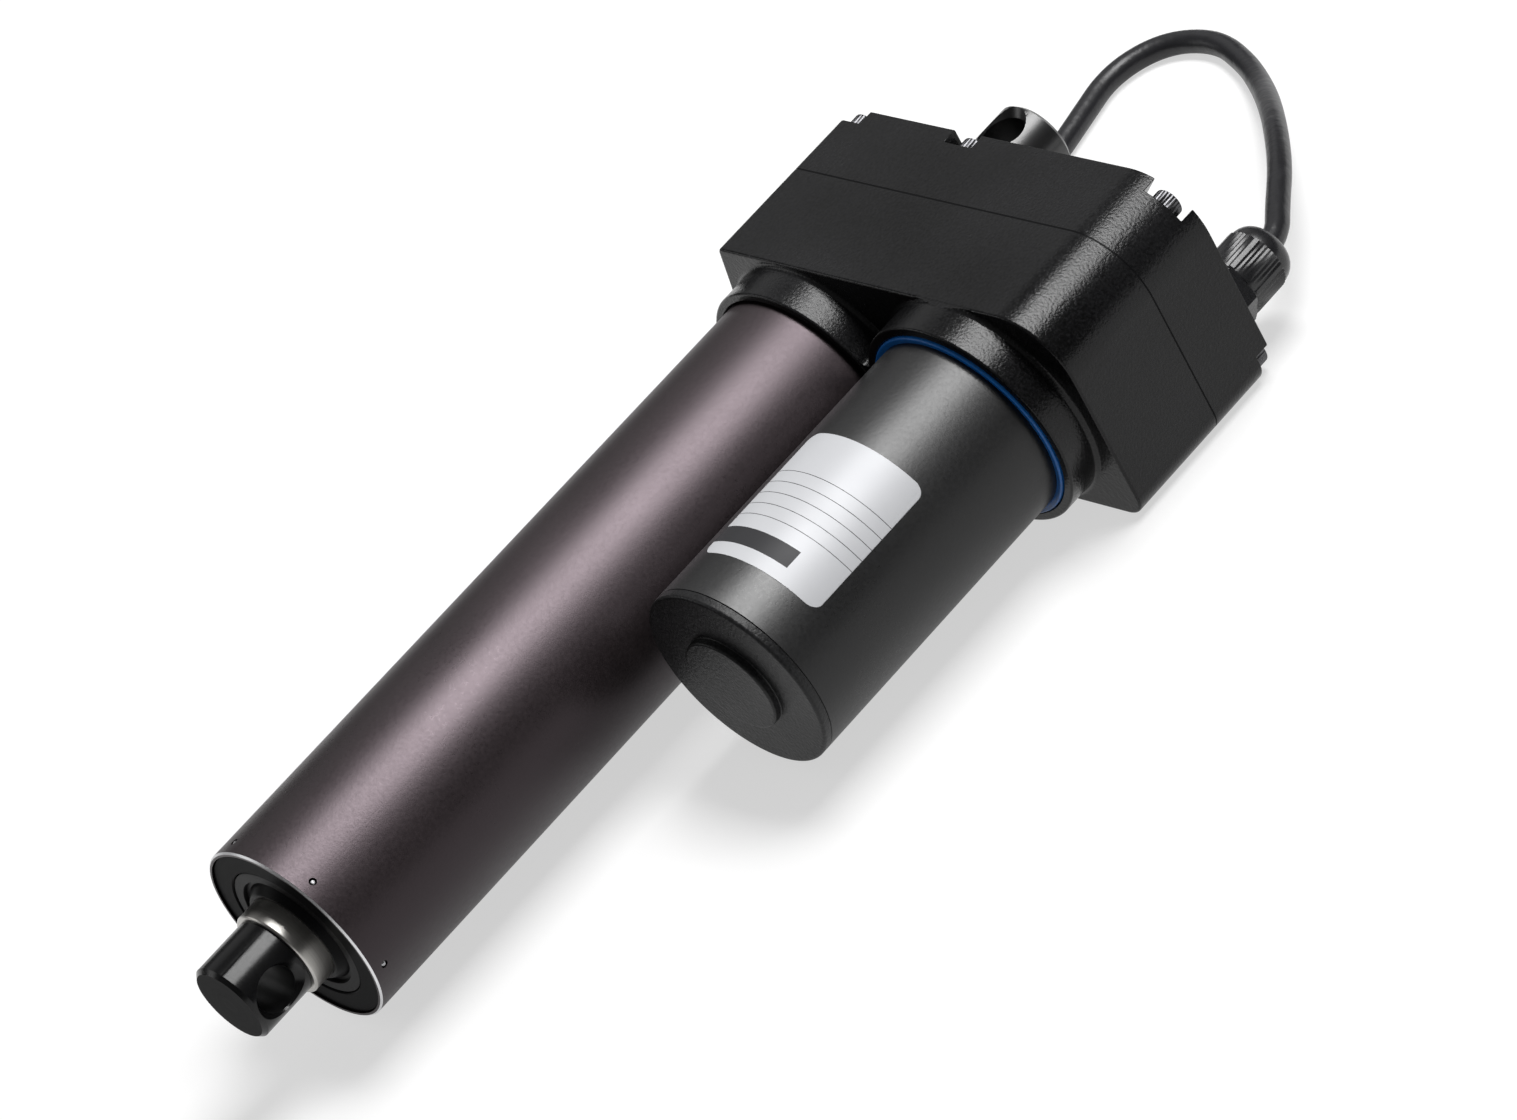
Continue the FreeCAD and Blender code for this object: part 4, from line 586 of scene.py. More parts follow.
def settle(piece):
    """Leave edit mode with doubles merged, faces turned outwards and the piece's place in its mesh."""
    bpy.ops.mesh.select_all(action="SELECT")
    bpy.ops.mesh.remove_doubles(threshold=DOUBLE)
    bpy.ops.mesh.normals_make_consistent(inside=False)
    bpy.ops.object.mode_set(mode="OBJECT")
    fix_place()
    return piece


def turn(name, profile, axis=SCREW_AXIS, sides=ROUND_SIDES, ring=False):
    """A round piece along X, drawn from one (x, radius) point to the next. A ring joins up with its start."""
    start()
    x, radius = profile[0]
    bpy.ops.mesh.primitive_circle_add(vertices=sides, radius=radius, fill_type="NOTHING" if ring else "NGON",
                                      enter_editmode=True, location=(x, *axis), rotation=(0, math.pi / 2, 0))
    piece = named(name)
    bpy.ops.mesh.select_mode(type="EDGE")
    bpy.ops.mesh.select_all(action="SELECT")
    rest = profile[1:]
    if ring:
        rest = rest + profile[:1]
    for next_x, next_radius in rest:
        bpy.ops.mesh.extrude_edges_move(TRANSFORM_OT_translate={"value": (next_x - x, 0, 0)})
        grow = next_radius / radius
        bpy.ops.transform.resize(value=(1, grow, grow), center_override=(next_x, *axis))
        x, radius = next_x, next_radius
    if not ring:
        bpy.ops.mesh.edge_face_add()
    return settle(piece)


def cylinder(name, begin, end, radius, axis=SCREW_AXIS, sides=ROUND_SIDES):
    """A plain round piece along X."""
    return turn(name, [(begin, radius), (end, radius)], axis, sides)


def sleeve(begin, end, inner, outer):
    """Points of a plain hollow profile."""
    return [(begin, inner), (begin, outer), (end, outer), (end, inner)]


def stepped(stages, end):
    """Points of a stepped profile: each (x, radius) stage runs up to where the next one begins."""
    stops = [x for x, radius in stages[1:]] + [end]
    points = []
    for (x, radius), stop in zip(stages, stops):
        points += [(x, radius), (stop, radius)]
    return points


def arc(centre_x, centre_radius, radius, from_angle, to_angle, steps=5):
    """Points of a rounding in a turned profile, its angles from +X towards greater radius."""
    points = []
    for step in range(steps + 1):
        angle = math.radians(from_angle + (to_angle - from_angle) * step / steps)
        points.append((centre_x + radius * math.cos(angle), centre_radius + radius * math.sin(angle)))
    return points


def box(name, low, high):
    """A plain block, used to cut or to fill."""
    start()
    middle = [(a + b) / 2 for a, b in zip(low, high)]
    sides = [b - a for a, b in zip(low, high)]
    bpy.ops.mesh.primitive_cube_add(size=1, location=middle, scale=sides)
    piece = named(name)
    fix_place()
    return piece


def aim(piece, rotation, place=(0, 0, 0)):
    """Turn a piece about the origin, then move it."""
    work_on(piece)
    piece.rotation_euler = rotation
    piece.location = place
    fix_place()
    return piece


def combine(piece, tools, operation="DIFFERENCE"):
    """Cut other shapes out of a piece, or unite them with it; they are used up."""
    work_on(piece)
    for tool in tools:
        modifier = piece.modifiers.new("combine", "BOOLEAN")
        modifier.operation = operation
        modifier.solver = "EXACT"
        modifier.object = tool
        bpy.ops.object.modifier_apply(modifier="combine")
        bpy.data.objects.remove(tool)
    if not piece.data.polygons:
        raise RuntimeError(f"{piece.name} has no faces left")
    return piece


def pick(test, sharp=False):
    """In edit mode, select the edges whose ends pass the test, or only the sharp ones of them."""
    bpy.ops.mesh.select_mode(type="EDGE")
    bpy.ops.mesh.select_all(action="DESELECT")
    piece = bpy.context.object
    mesh = bmesh.from_edit_mesh(piece.data)
    for edge in mesh.edges:
        ends = [piece.matrix_world @ vertex.co for vertex in edge.verts]
        edge.select_set(test(*ends) and (not sharp or edge.calc_face_angle(0) > SHARP))
    mesh.select_flush_mode()
    bmesh.update_edit_mesh(piece.data)


def round_edges(test, width, steps=3, sharp=False):
    """In edit mode, bevel the edges whose ends pass the test."""
    pick(test, sharp)
    bpy.ops.mesh.bevel(offset=width, offset_type="OFFSET", segments=steps, affect="EDGES",
                       clamp_overlap=False)


def polish(piece, edge=0.0):
    """Round the sharp edges and shade the round faces smooth, with flat faces kept flat."""
    work_on(piece)
    if edge:
        bevel = piece.modifiers.new("edges", "BEVEL")
        bevel.width = edge
        bevel.segments = EDGE_STEPS
        bevel.limit_method = "ANGLE"
        bevel.angle_limit = SHARP
        bpy.ops.object.modifier_apply(modifier="edges")
    bpy.ops.object.shade_smooth_by_angle(angle=SHARP)
    facing = piece.modifiers.new("facing", "WEIGHTED_NORMAL")
    facing.keep_sharp = True
    bpy.ops.object.modifier_apply(modifier="facing")
    return piece


def spread(piece, places):
    """Copies of a piece, in its own mesh, at steps from one (y, z) place to the next."""
    with editing(piece):
        for here, there in zip(places, places[1:]):
            step = (0, there[0] - here[0], there[1] - here[1])
            bpy.ops.mesh.duplicate_move(TRANSFORM_OT_translate={"value": step})
    return piece


def round_about(piece, count):
    """Copies of a piece, in its own mesh, evenly round the screw axis."""
    with editing(piece):
        for copy in range(count - 1):
            bpy.ops.mesh.duplicate()
            bpy.ops.transform.rotate(value=2 * math.pi / count, orient_axis="X", center_override=(0, 0, 0))
    return piece


def flute(piece, axis, radius, span, count, depth, strips=0, strip_width=0.0):
    """Sink every other edge of a round side to make ribs, with smooth strips left between panels."""
    pitch = 2 * math.pi / count
    shortest = mm(0.1)
    slack = mm(0.2)

    def in_strip(angle):
        if not strips:
            return False
        panel = 2 * math.pi / strips
        return abs((angle + panel / 2) % panel - panel / 2) < strip_width / radius

    def in_groove(a, b):
        if min(a.x, b.x) < span[0] or max(a.x, b.x) > span[1] or abs(a.x - b.x) < shortest:
            return False
        y, z = (a.y + b.y) / 2 - axis[0], (a.z + b.z) / 2 - axis[1]
        angle = math.atan2(z, y)
        if abs(math.hypot(y, z) - radius) > slack or in_strip(angle):
            return False
        return round(angle / pitch) % 2 == 0

    with editing(piece):
        pick(in_groove)
        share = 1 - depth / radius
        bpy.ops.transform.resize(value=(1, share, share), center_override=(span[0], *axis))


def edge_at(y, z):
    """A test for the edge that runs along X at that place."""
    def test(*ends):
        return all(abs(end.y - y) < NEAR and abs(end.z - z) < NEAR for end in ends)

    return test


def case_block(name, begin, end, inset=0.0):
    """A length of the gear case's outline: flat top and bottom, round shoulder, small foot and a V end."""
    sizes = scene_sizes()
    top = CASE_TOP - inset
    side = CASE_SIDE - inset
    tip = inset - sizes.tip
    back = tip + sizes.slant
    lean = math.atan2(sizes.slant, top)
    start()
    bpy.ops.mesh.primitive_cube_add(size=1, enter_editmode=True,
                                    location=((begin + end) / 2, (tip + side) / 2, 0),
                                    scale=(end - begin, side - tip, top * 2))
    piece = named(name)
    for up in (1, -1):
        bpy.ops.mesh.select_all(action="SELECT")
        bpy.ops.mesh.bisect(plane_co=(0, tip, 0), plane_no=(0, -top, sizes.slant * up), use_fill=True,
                            clear_outer=True)
    square = math.pi / 2
    # Place, radius, angle between the two faces, and steps of each rounded corner
    corners = [
        (side, top, sizes.shoulder, square, 20),
        (side, -top, sizes.foot, square, 10),
        (back, top, sizes.corner, square + lean, 5),
        (back, -top, sizes.corner, square + lean, 5),
        (tip, 0, sizes.tip_round, math.pi - 2 * lean, 6),
    ]
    for y, z, radius, angle, steps in corners:
        if radius > inset:
            round_edges(edge_at(y, z), (radius - inset) / math.tan(angle / 2), steps)
    return settle(piece)


# Gear case

# Play between pieces that fit each other
PLAY = mm(0.02)
# How far a cutting or joining shape reaches past the face that it meets
REACH = mm(1)
# How deep a collar is rooted in the case, and how far inside the case's outline it stays
COLLAR_ROOTED = mm(3)
COLLAR_INSET = mm(0.05)
# The valley's grooves begin this far in front of the case
GROOVE_START = mm(0.5)
GROOVE_SIDES = 48
# The boss round the screw's bearing, and the lip behind that bearing
BOSS_WALL = mm(4)
BOSS_FLOOR = mm(2)
BEARING_LIP = mm(3.5)
# Radii of the motor shaft's hole, the boss at the rear, the clevis in its seat and the gland's thread
SHAFT_HOLE = mm(14)
REAR_BOSS = mm(15)
CLEVIS_SHANK = mm(9)
GLAND_THREAD = mm(8)
# Lead-ins at the mouths of the two collars, and how far they reach past the collars' front
TUBE_FLARE = mm(1)
SEAL_FLARE = mm(0.8)
FLARE_PAST = mm(0.3)


def cover_screw_places():
    """(y, z) of the six cover screws."""
    sizes = scene_sizes()
    top = CASE_TOP - sizes.screw_inset
    diagonal = math.sqrt(0.5)
    shoulder = sizes.shoulder - (sizes.shoulder - sizes.screw_inset) * diagonal
    foot = sizes.foot - (sizes.foot - sizes.screw_inset) * diagonal
    return [
        (-sizes.end_screw, top),
        (sizes.mid_screw, top),
        (CASE_SIDE - shoulder, CASE_TOP - shoulder),
        (CASE_SIDE - foot, foot - CASE_TOP),
        (sizes.mid_screw, -top),
        (-sizes.end_screw, -top),
    ]


def case_front():
    """Where the case ends and the collars begin."""
    return COLLAR_FRONT - scene_sizes().collar_reach


def collar(name, axis, radius):
    """A round collar on the case's front, with a fillet at its root and a rounded mouth."""
    front = case_front()
    back = front - COLLAR_ROOTED
    root = scene_sizes().collar_root
    edge = scene_sizes().collar_edge
    profile = [(back, radius + root)]
    profile += arc(front + root, radius + root, root, 180, 270)
    profile += arc(COLLAR_FRONT - edge, radius - edge, edge, 90, 0)
    limit = case_block("collar_limit", back - REACH, COLLAR_FRONT + REACH, COLLAR_INSET)
    return combine(turn(name, profile, axis), [limit], "INTERSECT")


def valley_web(tube_collar, motor_collar):
    """The metal between the two collars, hollowed to a round valley above and below."""
    sizes = scene_sizes()
    front = case_front()
    apart = MOTOR_AXIS[0]
    from_tube = tube_collar + sizes.valley
    from_motor = motor_collar + sizes.valley
    y = (apart ** 2 + from_tube ** 2 - from_motor ** 2) / (2 * apart)
    z = math.sqrt(from_tube ** 2 - y ** 2)
    low = y * tube_collar / from_tube
    high = apart + (y - apart) * motor_collar / from_motor
    height = z * tube_collar / from_tube
    web = box("collar_web", (front - REACH, low, -height), (COLLAR_FRONT - sizes.collar_edge, high, height))
    begin, end = front + GROOVE_START, COLLAR_FRONT + REACH
    grooves = []
    for place in ((y, z), (y, -z)):
        grooves.append(cylinder("valley_groove", begin, end, sizes.valley, place, GROOVE_SIDES))
    return combine(web, grooves)


def collar_bore(name, axis, stages, flare):
    """A stepped bore that widens by the flare at its collar's front."""
    end = COLLAR_FRONT + FLARE_PAST
    radius = stages[-1][1] - PLAY
    return turn(name, stepped(stages, end - flare) + [(end, radius + flare)], axis)


def front_half():
    """The front of the gear case, hollow, with its two collars."""
    sizes = scene_sizes()
    front = case_front()
    floor = front - sizes.front_wall
    case = case_block("gear_case_front", CASE_START, front)
    with editing(case):
        round_edges(lambda a, b: min(a.x, b.x) > front - NEAR, sizes.case_edge)
        round_edges(lambda a, b: max(a.x, b.x) < CASE_START + NEAR, sizes.parting_edge, EDGE_STEPS)
    tube_collar = TUBE_RADIUS + sizes.collar_wall
    motor_collar = SEAL_RADIUS + sizes.collar_wall
    combine(case, [
        collar("tube_collar", SCREW_AXIS, tube_collar),
        collar("motor_collar", MOTOR_AXIS, motor_collar),
        valley_web(tube_collar, motor_collar),
    ], "UNION")
    combine(case, [case_block("case_hollow", CASE_START - REACH, floor, sizes.wall)])
    boss_start = BEARING[0][0] - BOSS_FLOOR
    combine(case, [cylinder("bearing_boss", boss_start, floor + REACH, BEARING_RADIUS + BOSS_WALL)], "UNION")
    tube_stages = [
        (boss_start - REACH, BEARING_RADIUS - BEARING_LIP),
        (BEARING[0][0], BEARING_RADIUS + PLAY),
        (BEARING[1][0], RING_NUT[1][2] + PLAY),
        (RING_NUT[1][0], TUBE_RADIUS + PLAY),
    ]
    motor_stages = [
        (floor - REACH, SHAFT_HOLE + PLAY),
        (CAN[0][0], CAN_RADIUS + PLAY),
        (SEAL[0][0], SEAL_RADIUS + PLAY),
    ]
    return combine(case, [
        collar_bore("tube_bore", SCREW_AXIS, tube_stages, TUBE_FLARE),
        collar_bore("motor_bore", MOTOR_AXIS, motor_stages, SEAL_FLARE),
    ])


def screw_pockets():
    """Blocks that cut the recesses for the screw heads, open at the rear face."""
    sizes = scene_sizes()
    outward = mm(5)
    past_corner = mm(30)
    begin = REAR_FACE - REACH
    bottom = REAR_FACE + sizes.pocket_depth
    low = CASE_TOP - sizes.screw_inset - sizes.pocket
    high = CASE_TOP + outward
    # From and to along Y
    middle = (sizes.mid_screw - sizes.pocket, sizes.mid_screw + sizes.pocket)
    end = (-sizes.tip - outward, -sizes.end_pocket)
    blocks = []
    for floor, top in ((low, high), (-high, -low)):
        for left, right in (middle, end):
            blocks.append(box("edge_pocket", (begin, left, floor), (bottom, right, top)))
    half = sizes.corner_pocket
    places = cover_screw_places()
    for (y, z), slope in ((places[2], 45), (places[3], -45)):
        pocket = box("corner_pocket", (begin, -half, -half), (bottom, past_corner, half))
        blocks.append(aim(pocket, (math.radians(slope), 0, 0), (0, y, z)))
    return blocks


def rear_half():
    """The rear cover of the gear case, hollow, with recesses for the screw heads."""
    sizes = scene_sizes()
    inner = REAR_FACE + sizes.rear_wall
    case = combine(case_block("gear_case_rear", REAR_FACE, PARTING), screw_pockets())
    with editing(case):
        round_edges(lambda a, b: max(a.x, b.x) < PARTING - NEAR, sizes.pocket_edge, EDGE_STEPS, sharp=True)
        round_edges(lambda a, b: min(a.x, b.x) > PARTING - NEAR, sizes.parting_edge, EDGE_STEPS)
    combine(case, [case_block("cover_hollow", inner, PARTING + REACH, sizes.wall)])
    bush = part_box("rear_screw_bush")
    combine(case, [cylinder("rear_boss", inner - REACH, bush[1][0], REAR_BOSS)], "UNION")
    seat = [(REAR_FACE - REACH, CLEVIS_SHANK + PLAY), (bush[0][0], bush[1][2] + PLAY)]
    gland = GLAND_THREAD + PLAY
    return combine(case, [
        turn("clevis_seat", stepped(seat, bush[1][0] + REACH)),
        cylinder("gland_hole", REAR_FACE - REACH, inner + REACH, gland, GLAND_AXIS, GLAND_SIDES),
    ])


def gasket():
    """The thin seal that shows as a fine line between the halves."""
    sizes = scene_sizes()
    sheet = case_block("gear_case_gasket", PARTING, CASE_START, sizes.gasket_inset)
    return combine(sheet, [case_block("gasket_hollow", PARTING - REACH, CASE_START + REACH, sizes.wall)])


class ACTUATOR_OT_gear_case(bpy.types.Operator):
    """Model the two halves of the gear case and the seal between them"""
    bl_idname = "actuator.gear_case"
    bl_label = "Gear case"

    def execute(self, context):
        dress(polish(front_half()), "powder_coated_casting", "front_housing")
        dress(polish(rear_half()), "powder_coated_casting", "rear_cover")
        dress(polish(gasket()), "black_rubber", "housing_gasket")
        return {"FINISHED"}


# Cover screws

HEAD_EDGE = mm(0.45)
# The flat of a head ends this far inside its side
HEAD_FLAT_IN = mm(0.72)
# The knurl is drawn as coarse as it needs to show
KNURL_SIDES = 60
KNURL_START = mm(0.3)
KNURL_DEPTH = mm(0.22)
SOCKET_DEPTH = mm(2.5)
POINT_CHAMFER = mm(0.5)


def cover_screw(place):
    """One knurled socket-head screw."""
    sizes = scene_sizes()
    seat = REAR_FACE + sizes.pocket_depth
    point = seat + sizes.screw_length
    head = sizes.screw_head
    shank = sizes.screw_shank
    profile = [(REAR_FACE, head - HEAD_FLAT_IN)]
    profile += arc(REAR_FACE + HEAD_EDGE, head - HEAD_EDGE, HEAD_EDGE, 180, 90, steps=3)
    profile += [(seat, head), (seat, shank), (point - POINT_CHAMFER, shank), (point, shank - POINT_CHAMFER)]
    screw = turn("cover_screws_knurled", profile, place, KNURL_SIDES)
    flute(screw, place, head, (REAR_FACE + KNURL_START, seat), KNURL_SIDES, KNURL_DEPTH)
    socket = sizes.screw_socket / 2
    hexagon = cylinder("hexagon", REAR_FACE - REACH, REAR_FACE + SOCKET_DEPTH, socket, place, HEXAGON)
    return combine(screw, [hexagon])


class ACTUATOR_OT_cover_screws(bpy.types.Operator):
    """Model one socket-head screw and copy it to the six places"""
    bl_idname = "actuator.cover_screws"
    bl_label = "Cover screws"

    def execute(self, context):
        places = cover_screw_places()
        screws = spread(cover_screw(places[0]), places)
        dress(polish(screws), "zinc_plated_steel", "cover_screws")
        return {"FINISHED"}


# Rear eye and push rod

# Broken edges of an eye
EYE_BREAK = mm(0.2)
# A cross hole's countersink: how much wider it is at the eye's side, and how deep it goes
SINK_WIDTH = mm(2)
SINK_DEPTH = mm(2.6)
# The rod's tip to the middle of its cross hole
ROD_PIN_BACK = mm(9.5)


def cross_hole(name, reach, rotation, place=(0, 0, 0)):
    """A pin hole with countersunk ends, to be cut from an eye."""
    radius = scene_sizes().pin_hole
    hole = [
        (-reach, radius + SINK_WIDTH),
        (-reach + SINK_DEPTH, radius),
        (reach - SINK_DEPTH, radius),
        (reach, radius + SINK_WIDTH),
    ]
    return aim(turn(name, hole, sides=HOLE_SIDES), rotation, place)


def rear_eye():
    """The rear eye with the shank that holds it in the case."""
    edge = scene_sizes().eye_edge
    begin, radius = CLEVIS[0][0], CLEVIS[1][2]
    stages = [(begin + edge, radius), (REAR_FACE, CLEVIS_SHANK)]
    eye = turn("rear_eye", [(begin, radius - edge)] + stepped(stages, CLEVIS[1][0]))
    combine(eye, [cross_hole("rear_pin_hole", radius, (0, math.pi / 2, 0))])
    return polish(eye, EYE_BREAK)


class ACTUATOR_OT_rear_clevis(bpy.types.Operator):
    """Turn the rear eye and drill its pin hole"""
    bl_idname = "actuator.rear_clevis"
    bl_label = "Rear clevis"

    def execute(self, context):
        eye = dress(rear_eye(), "black_oxide_steel", "rear_clevis")
        brushed = clevis_black_oxide(context.scene.actuator_colours)
        part_finish(eye, brushed, lambda face: face.center.x < REAR_FACE)
        return {"FINISHED"}


ROD_WALL = mm(3)
ROD_CHAMFER = mm(0.5)
ROD_BREAK = mm(0.15)
# How near a face lies to the eye's end, or to the wall of its hole, to share its finish
END_SLACK = mm(0.05)
BORE_SLACK = mm(0.1)


def push_rod():
    """The ground tube that slides out."""
    begin, face = ROD[0][0], ROD[1][0]
    bore = ROD_RADIUS - ROD_WALL
    rod = turn("push_rod_ground", [
        (begin, bore),
        (begin, ROD_RADIUS),
        (face - ROD_CHAMFER, ROD_RADIUS),
        (face, ROD_RADIUS - ROD_CHAMFER),
        (face, bore),
    ], ring=True)
    return polish(rod, ROD_BREAK)


def rod_end(place):
    """The eye at the rod's front, with a spigot in the rod and a cross hole at that place."""
    edge = scene_sizes().eye_edge
    tip, radius = ROD_END[1][0], ROD_END[1][2]
    stages = [(ROD_END[0][0], ROD_RADIUS - ROD_WALL - PLAY), (ROD[1][0], radius)]
    end = turn("rod_end_eye", stepped(stages, tip - edge) + [(tip, radius - edge)])
    combine(end, [cross_hole("rod_pin_hole", radius, (0, 0, math.pi / 2), place)])
    return polish(end, EYE_BREAK)


class ACTUATOR_OT_push_rod(bpy.types.Operator):
    """Turn the push rod and its cross-drilled end"""
    bl_idname = "actuator.push_rod"
    bl_label = "Push rod"

    def execute(self, context):
        dress(push_rod(), "ground_stainless", "push_rod", body="rod")
        tip = ROD_END[1][0]
        middle = tip - ROD_PIN_BACK
        end = dress(rod_end((middle, 0, 0)), "black_oxide_steel", "rod_end", body="rod")
        colours = context.scene.actuator_colours
        part_finish(end, end_black_oxide(colours), lambda face: face.center.x > tip - END_SLACK)
        bore = context.scene.actuator_sizes.pin_hole + BORE_SLACK
        part_finish(end, bore_black_oxide(colours),
                    lambda face: math.hypot(face.center.x - middle, face.center.z) < bore)
        return {"FINISHED"}


# Cover tube and front cap

TUBE_WALL = mm(3)
# The wider mouth that takes the cap's rim
MOUTH_WALL = mm(1.2)
MOUTH_DEPTH = mm(7)
CAP_PINS = 6
# How far the first pin is turned below the level on the motor's side
PIN_TURN = math.radians(-11)
PIN_SIDES = 32
PIN_CHAMFER = mm(0.45)
PIN_HOLE_PLAY = mm(0.2)


def pin_ring(name, radius, depth, past=0.0, edge=0.0):
    """Six short round pieces from that deep in the tube's outside to a little past it, chamfered outside."""
    low, high = TUBE_RADIUS - depth, TUBE_RADIUS + past
    profile = [(low, radius), (high - edge, radius), (high - edge / 4, radius - edge)]
    pin = turn(name, profile, sides=PIN_SIDES)
    aim(pin, (0, 0, math.pi / 2))
    aim(pin, (PIN_TURN, 0, 0), (TUBE_FRONT - scene_sizes().pin_back, 0, 0))
    return round_about(pin, CAP_PINS)


def pin_holes(name, play):
    """The holes for the cap pins, to be cut from the tube or from the cap."""
    return pin_ring(name, scene_sizes().pin_radius + play, TUBE_WALL + REACH, REACH)


def cover_tube():
    """The tube with a chamfered rim and a wider mouth, drilled for the cap pins."""
    bore = TUBE_RADIUS - TUBE_WALL
    seat = TUBE_RADIUS - MOUTH_WALL
    edge = scene_sizes().tube_edge
    tube = turn("cover_tube_sleeve", [
        (TUBE[0][0], bore),
        (TUBE[0][0], TUBE_RADIUS),
        (TUBE_FRONT - edge, TUBE_RADIUS),
        (TUBE_FRONT, TUBE_RADIUS - edge),
        (TUBE_FRONT, seat),
        (TUBE_FRONT - MOUTH_DEPTH, seat),
        (TUBE_FRONT - MOUTH_DEPTH, bore),
    ], sides=FINE_SIDES, ring=True)
    return polish(combine(tube, [pin_holes("pin_holes", PIN_HOLE_PLAY)]))


class ACTUATOR_OT_cover_tube(bpy.types.Operator):
    """Turn the cover tube with its bright front chamfer and drill it for the cap pins"""
    bl_idname = "actuator.cover_tube"
    bl_label = "Cover tube"

    def execute(self, context):
        tube = dress(cover_tube(), "bronze_anodised_tube", "cover_tube")
        edge = context.scene.actuator_sizes.tube_edge
        # The chamfer, but not the flat rim in front of it
        front = TUBE_FRONT - edge * 0.05
        part_finish(tube, FINISHES["bare_aluminium"], lambda face: front - edge < face.center.x < front)
        return {"FINISHED"}


CAP_CHAMFER = mm(0.3)
CAP_LEAD_IN = mm(0.35)
CAP_ROD_PLAY = mm(0.5)
CAP_BREAK = mm(0.12)


def front_cap():
    """The disc in the tube's mouth, hollow for the guide bush and the wiper."""
    begin, face, radius = CAP[0][0], CAP[1][0], CAP[1][2]
    step, recess = WIPER[0][0], WIPER[1][2] + PLAY
    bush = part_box("guide_bush")
    seat = bush[1][2] + PLAY
    body = TUBE_RADIUS - TUBE_WALL - PLAY
    hole = ROD_RADIUS + CAP_ROD_PLAY
    cap = turn("front_cap_turned", [
        (begin, seat),
        (begin, body),
        (step, body),
        (step, radius),
        (face - CAP_CHAMFER, radius),
        (face, radius - CAP_CHAMFER),
        (face, recess + CAP_LEAD_IN),
        (face - CAP_LEAD_IN, recess),
        (step, recess),
        (step, hole),
        (bush[1][0], hole),
        (bush[1][0], seat),
    ], ring=True)
    return polish(combine(cap, [pin_holes("pin_sockets", PLAY)]), CAP_BREAK)


WIPER_PLAY = mm(0.8)
WIPER_CHAMFER = mm(0.4)
WIPER_SUNK = mm(0.3)
WIPER_BREAK = mm(0.15)
# The dip between the wiper's flat and its lip: millimetres back from the flat and out from the rod
WIPER_DIP = [(0, 4.6), (1.3, 4.2), (1.3, 3.2), (0.6, 2.7)]
# The lip that touches the rod: millimetres back from its tip and out from the rod
WIPER_LIP = [(0.4, 1.5), (0, 1.1), (0, 0.06), (1.5, 0.06)]
WIPER_HOLLOW = mm(2.5)


def rod_wiper():
    """The seal ring in the cap, flat outside, with a dip and a lip round the rod."""
    step, tip, rim = WIPER[0][0], WIPER[1][0], WIPER[1][2]
    flat = CAP[1][0] - WIPER_SUNK
    inner = ROD_RADIUS + WIPER_PLAY
    profile = [(step, inner), (step, rim), (flat - WIPER_CHAMFER, rim), (flat, rim - WIPER_CHAMFER)]
    profile += [(flat - mm(back), ROD_RADIUS + mm(out)) for back, out in WIPER_DIP]
    profile += [(tip - mm(back), ROD_RADIUS + mm(out)) for back, out in WIPER_LIP]
    profile += [(step + WIPER_HOLLOW, inner)]
    return polish(turn("rod_wiper_lip", profile, ring=True), WIPER_BREAK)


class ACTUATOR_OT_front_cap(bpy.types.Operator):
    """Turn the front cap and the rod wiper and fit the spring pins"""
    bl_idname = "actuator.front_cap"
    bl_label = "Front cap"

    def execute(self, context):
        dress(front_cap(), "black_anodised_cap", "front_cap")
        dress(rod_wiper(), "black_rubber", "rod_wiper")
        radius = context.scene.actuator_sizes.pin_radius
        pins = polish(pin_ring("cap_spring_pins", radius, TUBE_WALL, edge=PIN_CHAMFER))
        dress(pins, "zinc_plated_steel", "cap_pins")
        # Brighter than the cover screws, which share their slot
        coat(pins, FINISHES["bearing_steel"])
        return {"FINISHED"}


# Motor

CAN_WALL = mm(2.5)
CAN_BREAK = mm(0.25)
CAP_FLOOR = mm(2)
SPIGOT_WALL = mm(3)
# The fine seam where the cap meets the can
SEAM = mm(0.2)
CAP_ROUND = mm(1.0)
NUB_ROUND = mm(0.7)
SEAL_ROUND = mm(0.6)
SEAL_DISH = mm(0.3)


def motor_can():
    """The drawn can."""
    profile = sleeve(CAN[0][0], CAN[1][0], CAN_RADIUS - CAN_WALL, CAN_RADIUS)
    return polish(turn("motor_can_drawn", profile, MOTOR_AXIS, FINE_SIDES, True), CAN_BREAK)


def motor_end_cap():
    """The cast cap with a spigot in the can, a pocket for the rear bearing and a raised disc."""
    sizes = scene_sizes()
    seam = CAN[1][0]
    tip = MOTOR_CAP[1][0]
    face = tip - sizes.nub_height
    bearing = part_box("motor_rear_bearing")
    pocket = (bearing[1][2] - bearing[0][2]) / 2 + PLAY
    spigot = CAN_RADIUS - CAN_WALL - PLAY
    root = NUB_ROUND / 2
    profile = [
        (bearing[1][0], pocket),
        (seam - CAP_FLOOR, pocket),
        (seam - CAP_FLOOR, spigot - SPIGOT_WALL),
        (MOTOR_CAP[0][0], spigot - SPIGOT_WALL),
        (MOTOR_CAP[0][0], spigot),
        (seam, spigot),
        (seam, CAN_RADIUS - SEAM),
        (seam + SEAM, CAN_RADIUS),
    ]
    profile += arc(face - CAP_ROUND, CAN_RADIUS - CAP_ROUND, CAP_ROUND, 90, 0)
    profile += arc(face + root, sizes.nub + root, root, 180, 270, steps=3)
    profile += arc(tip - NUB_ROUND, sizes.nub - NUB_ROUND, NUB_ROUND, 90, 0, steps=4)
    return polish(turn("motor_end_cap_cast", profile, MOTOR_AXIS))


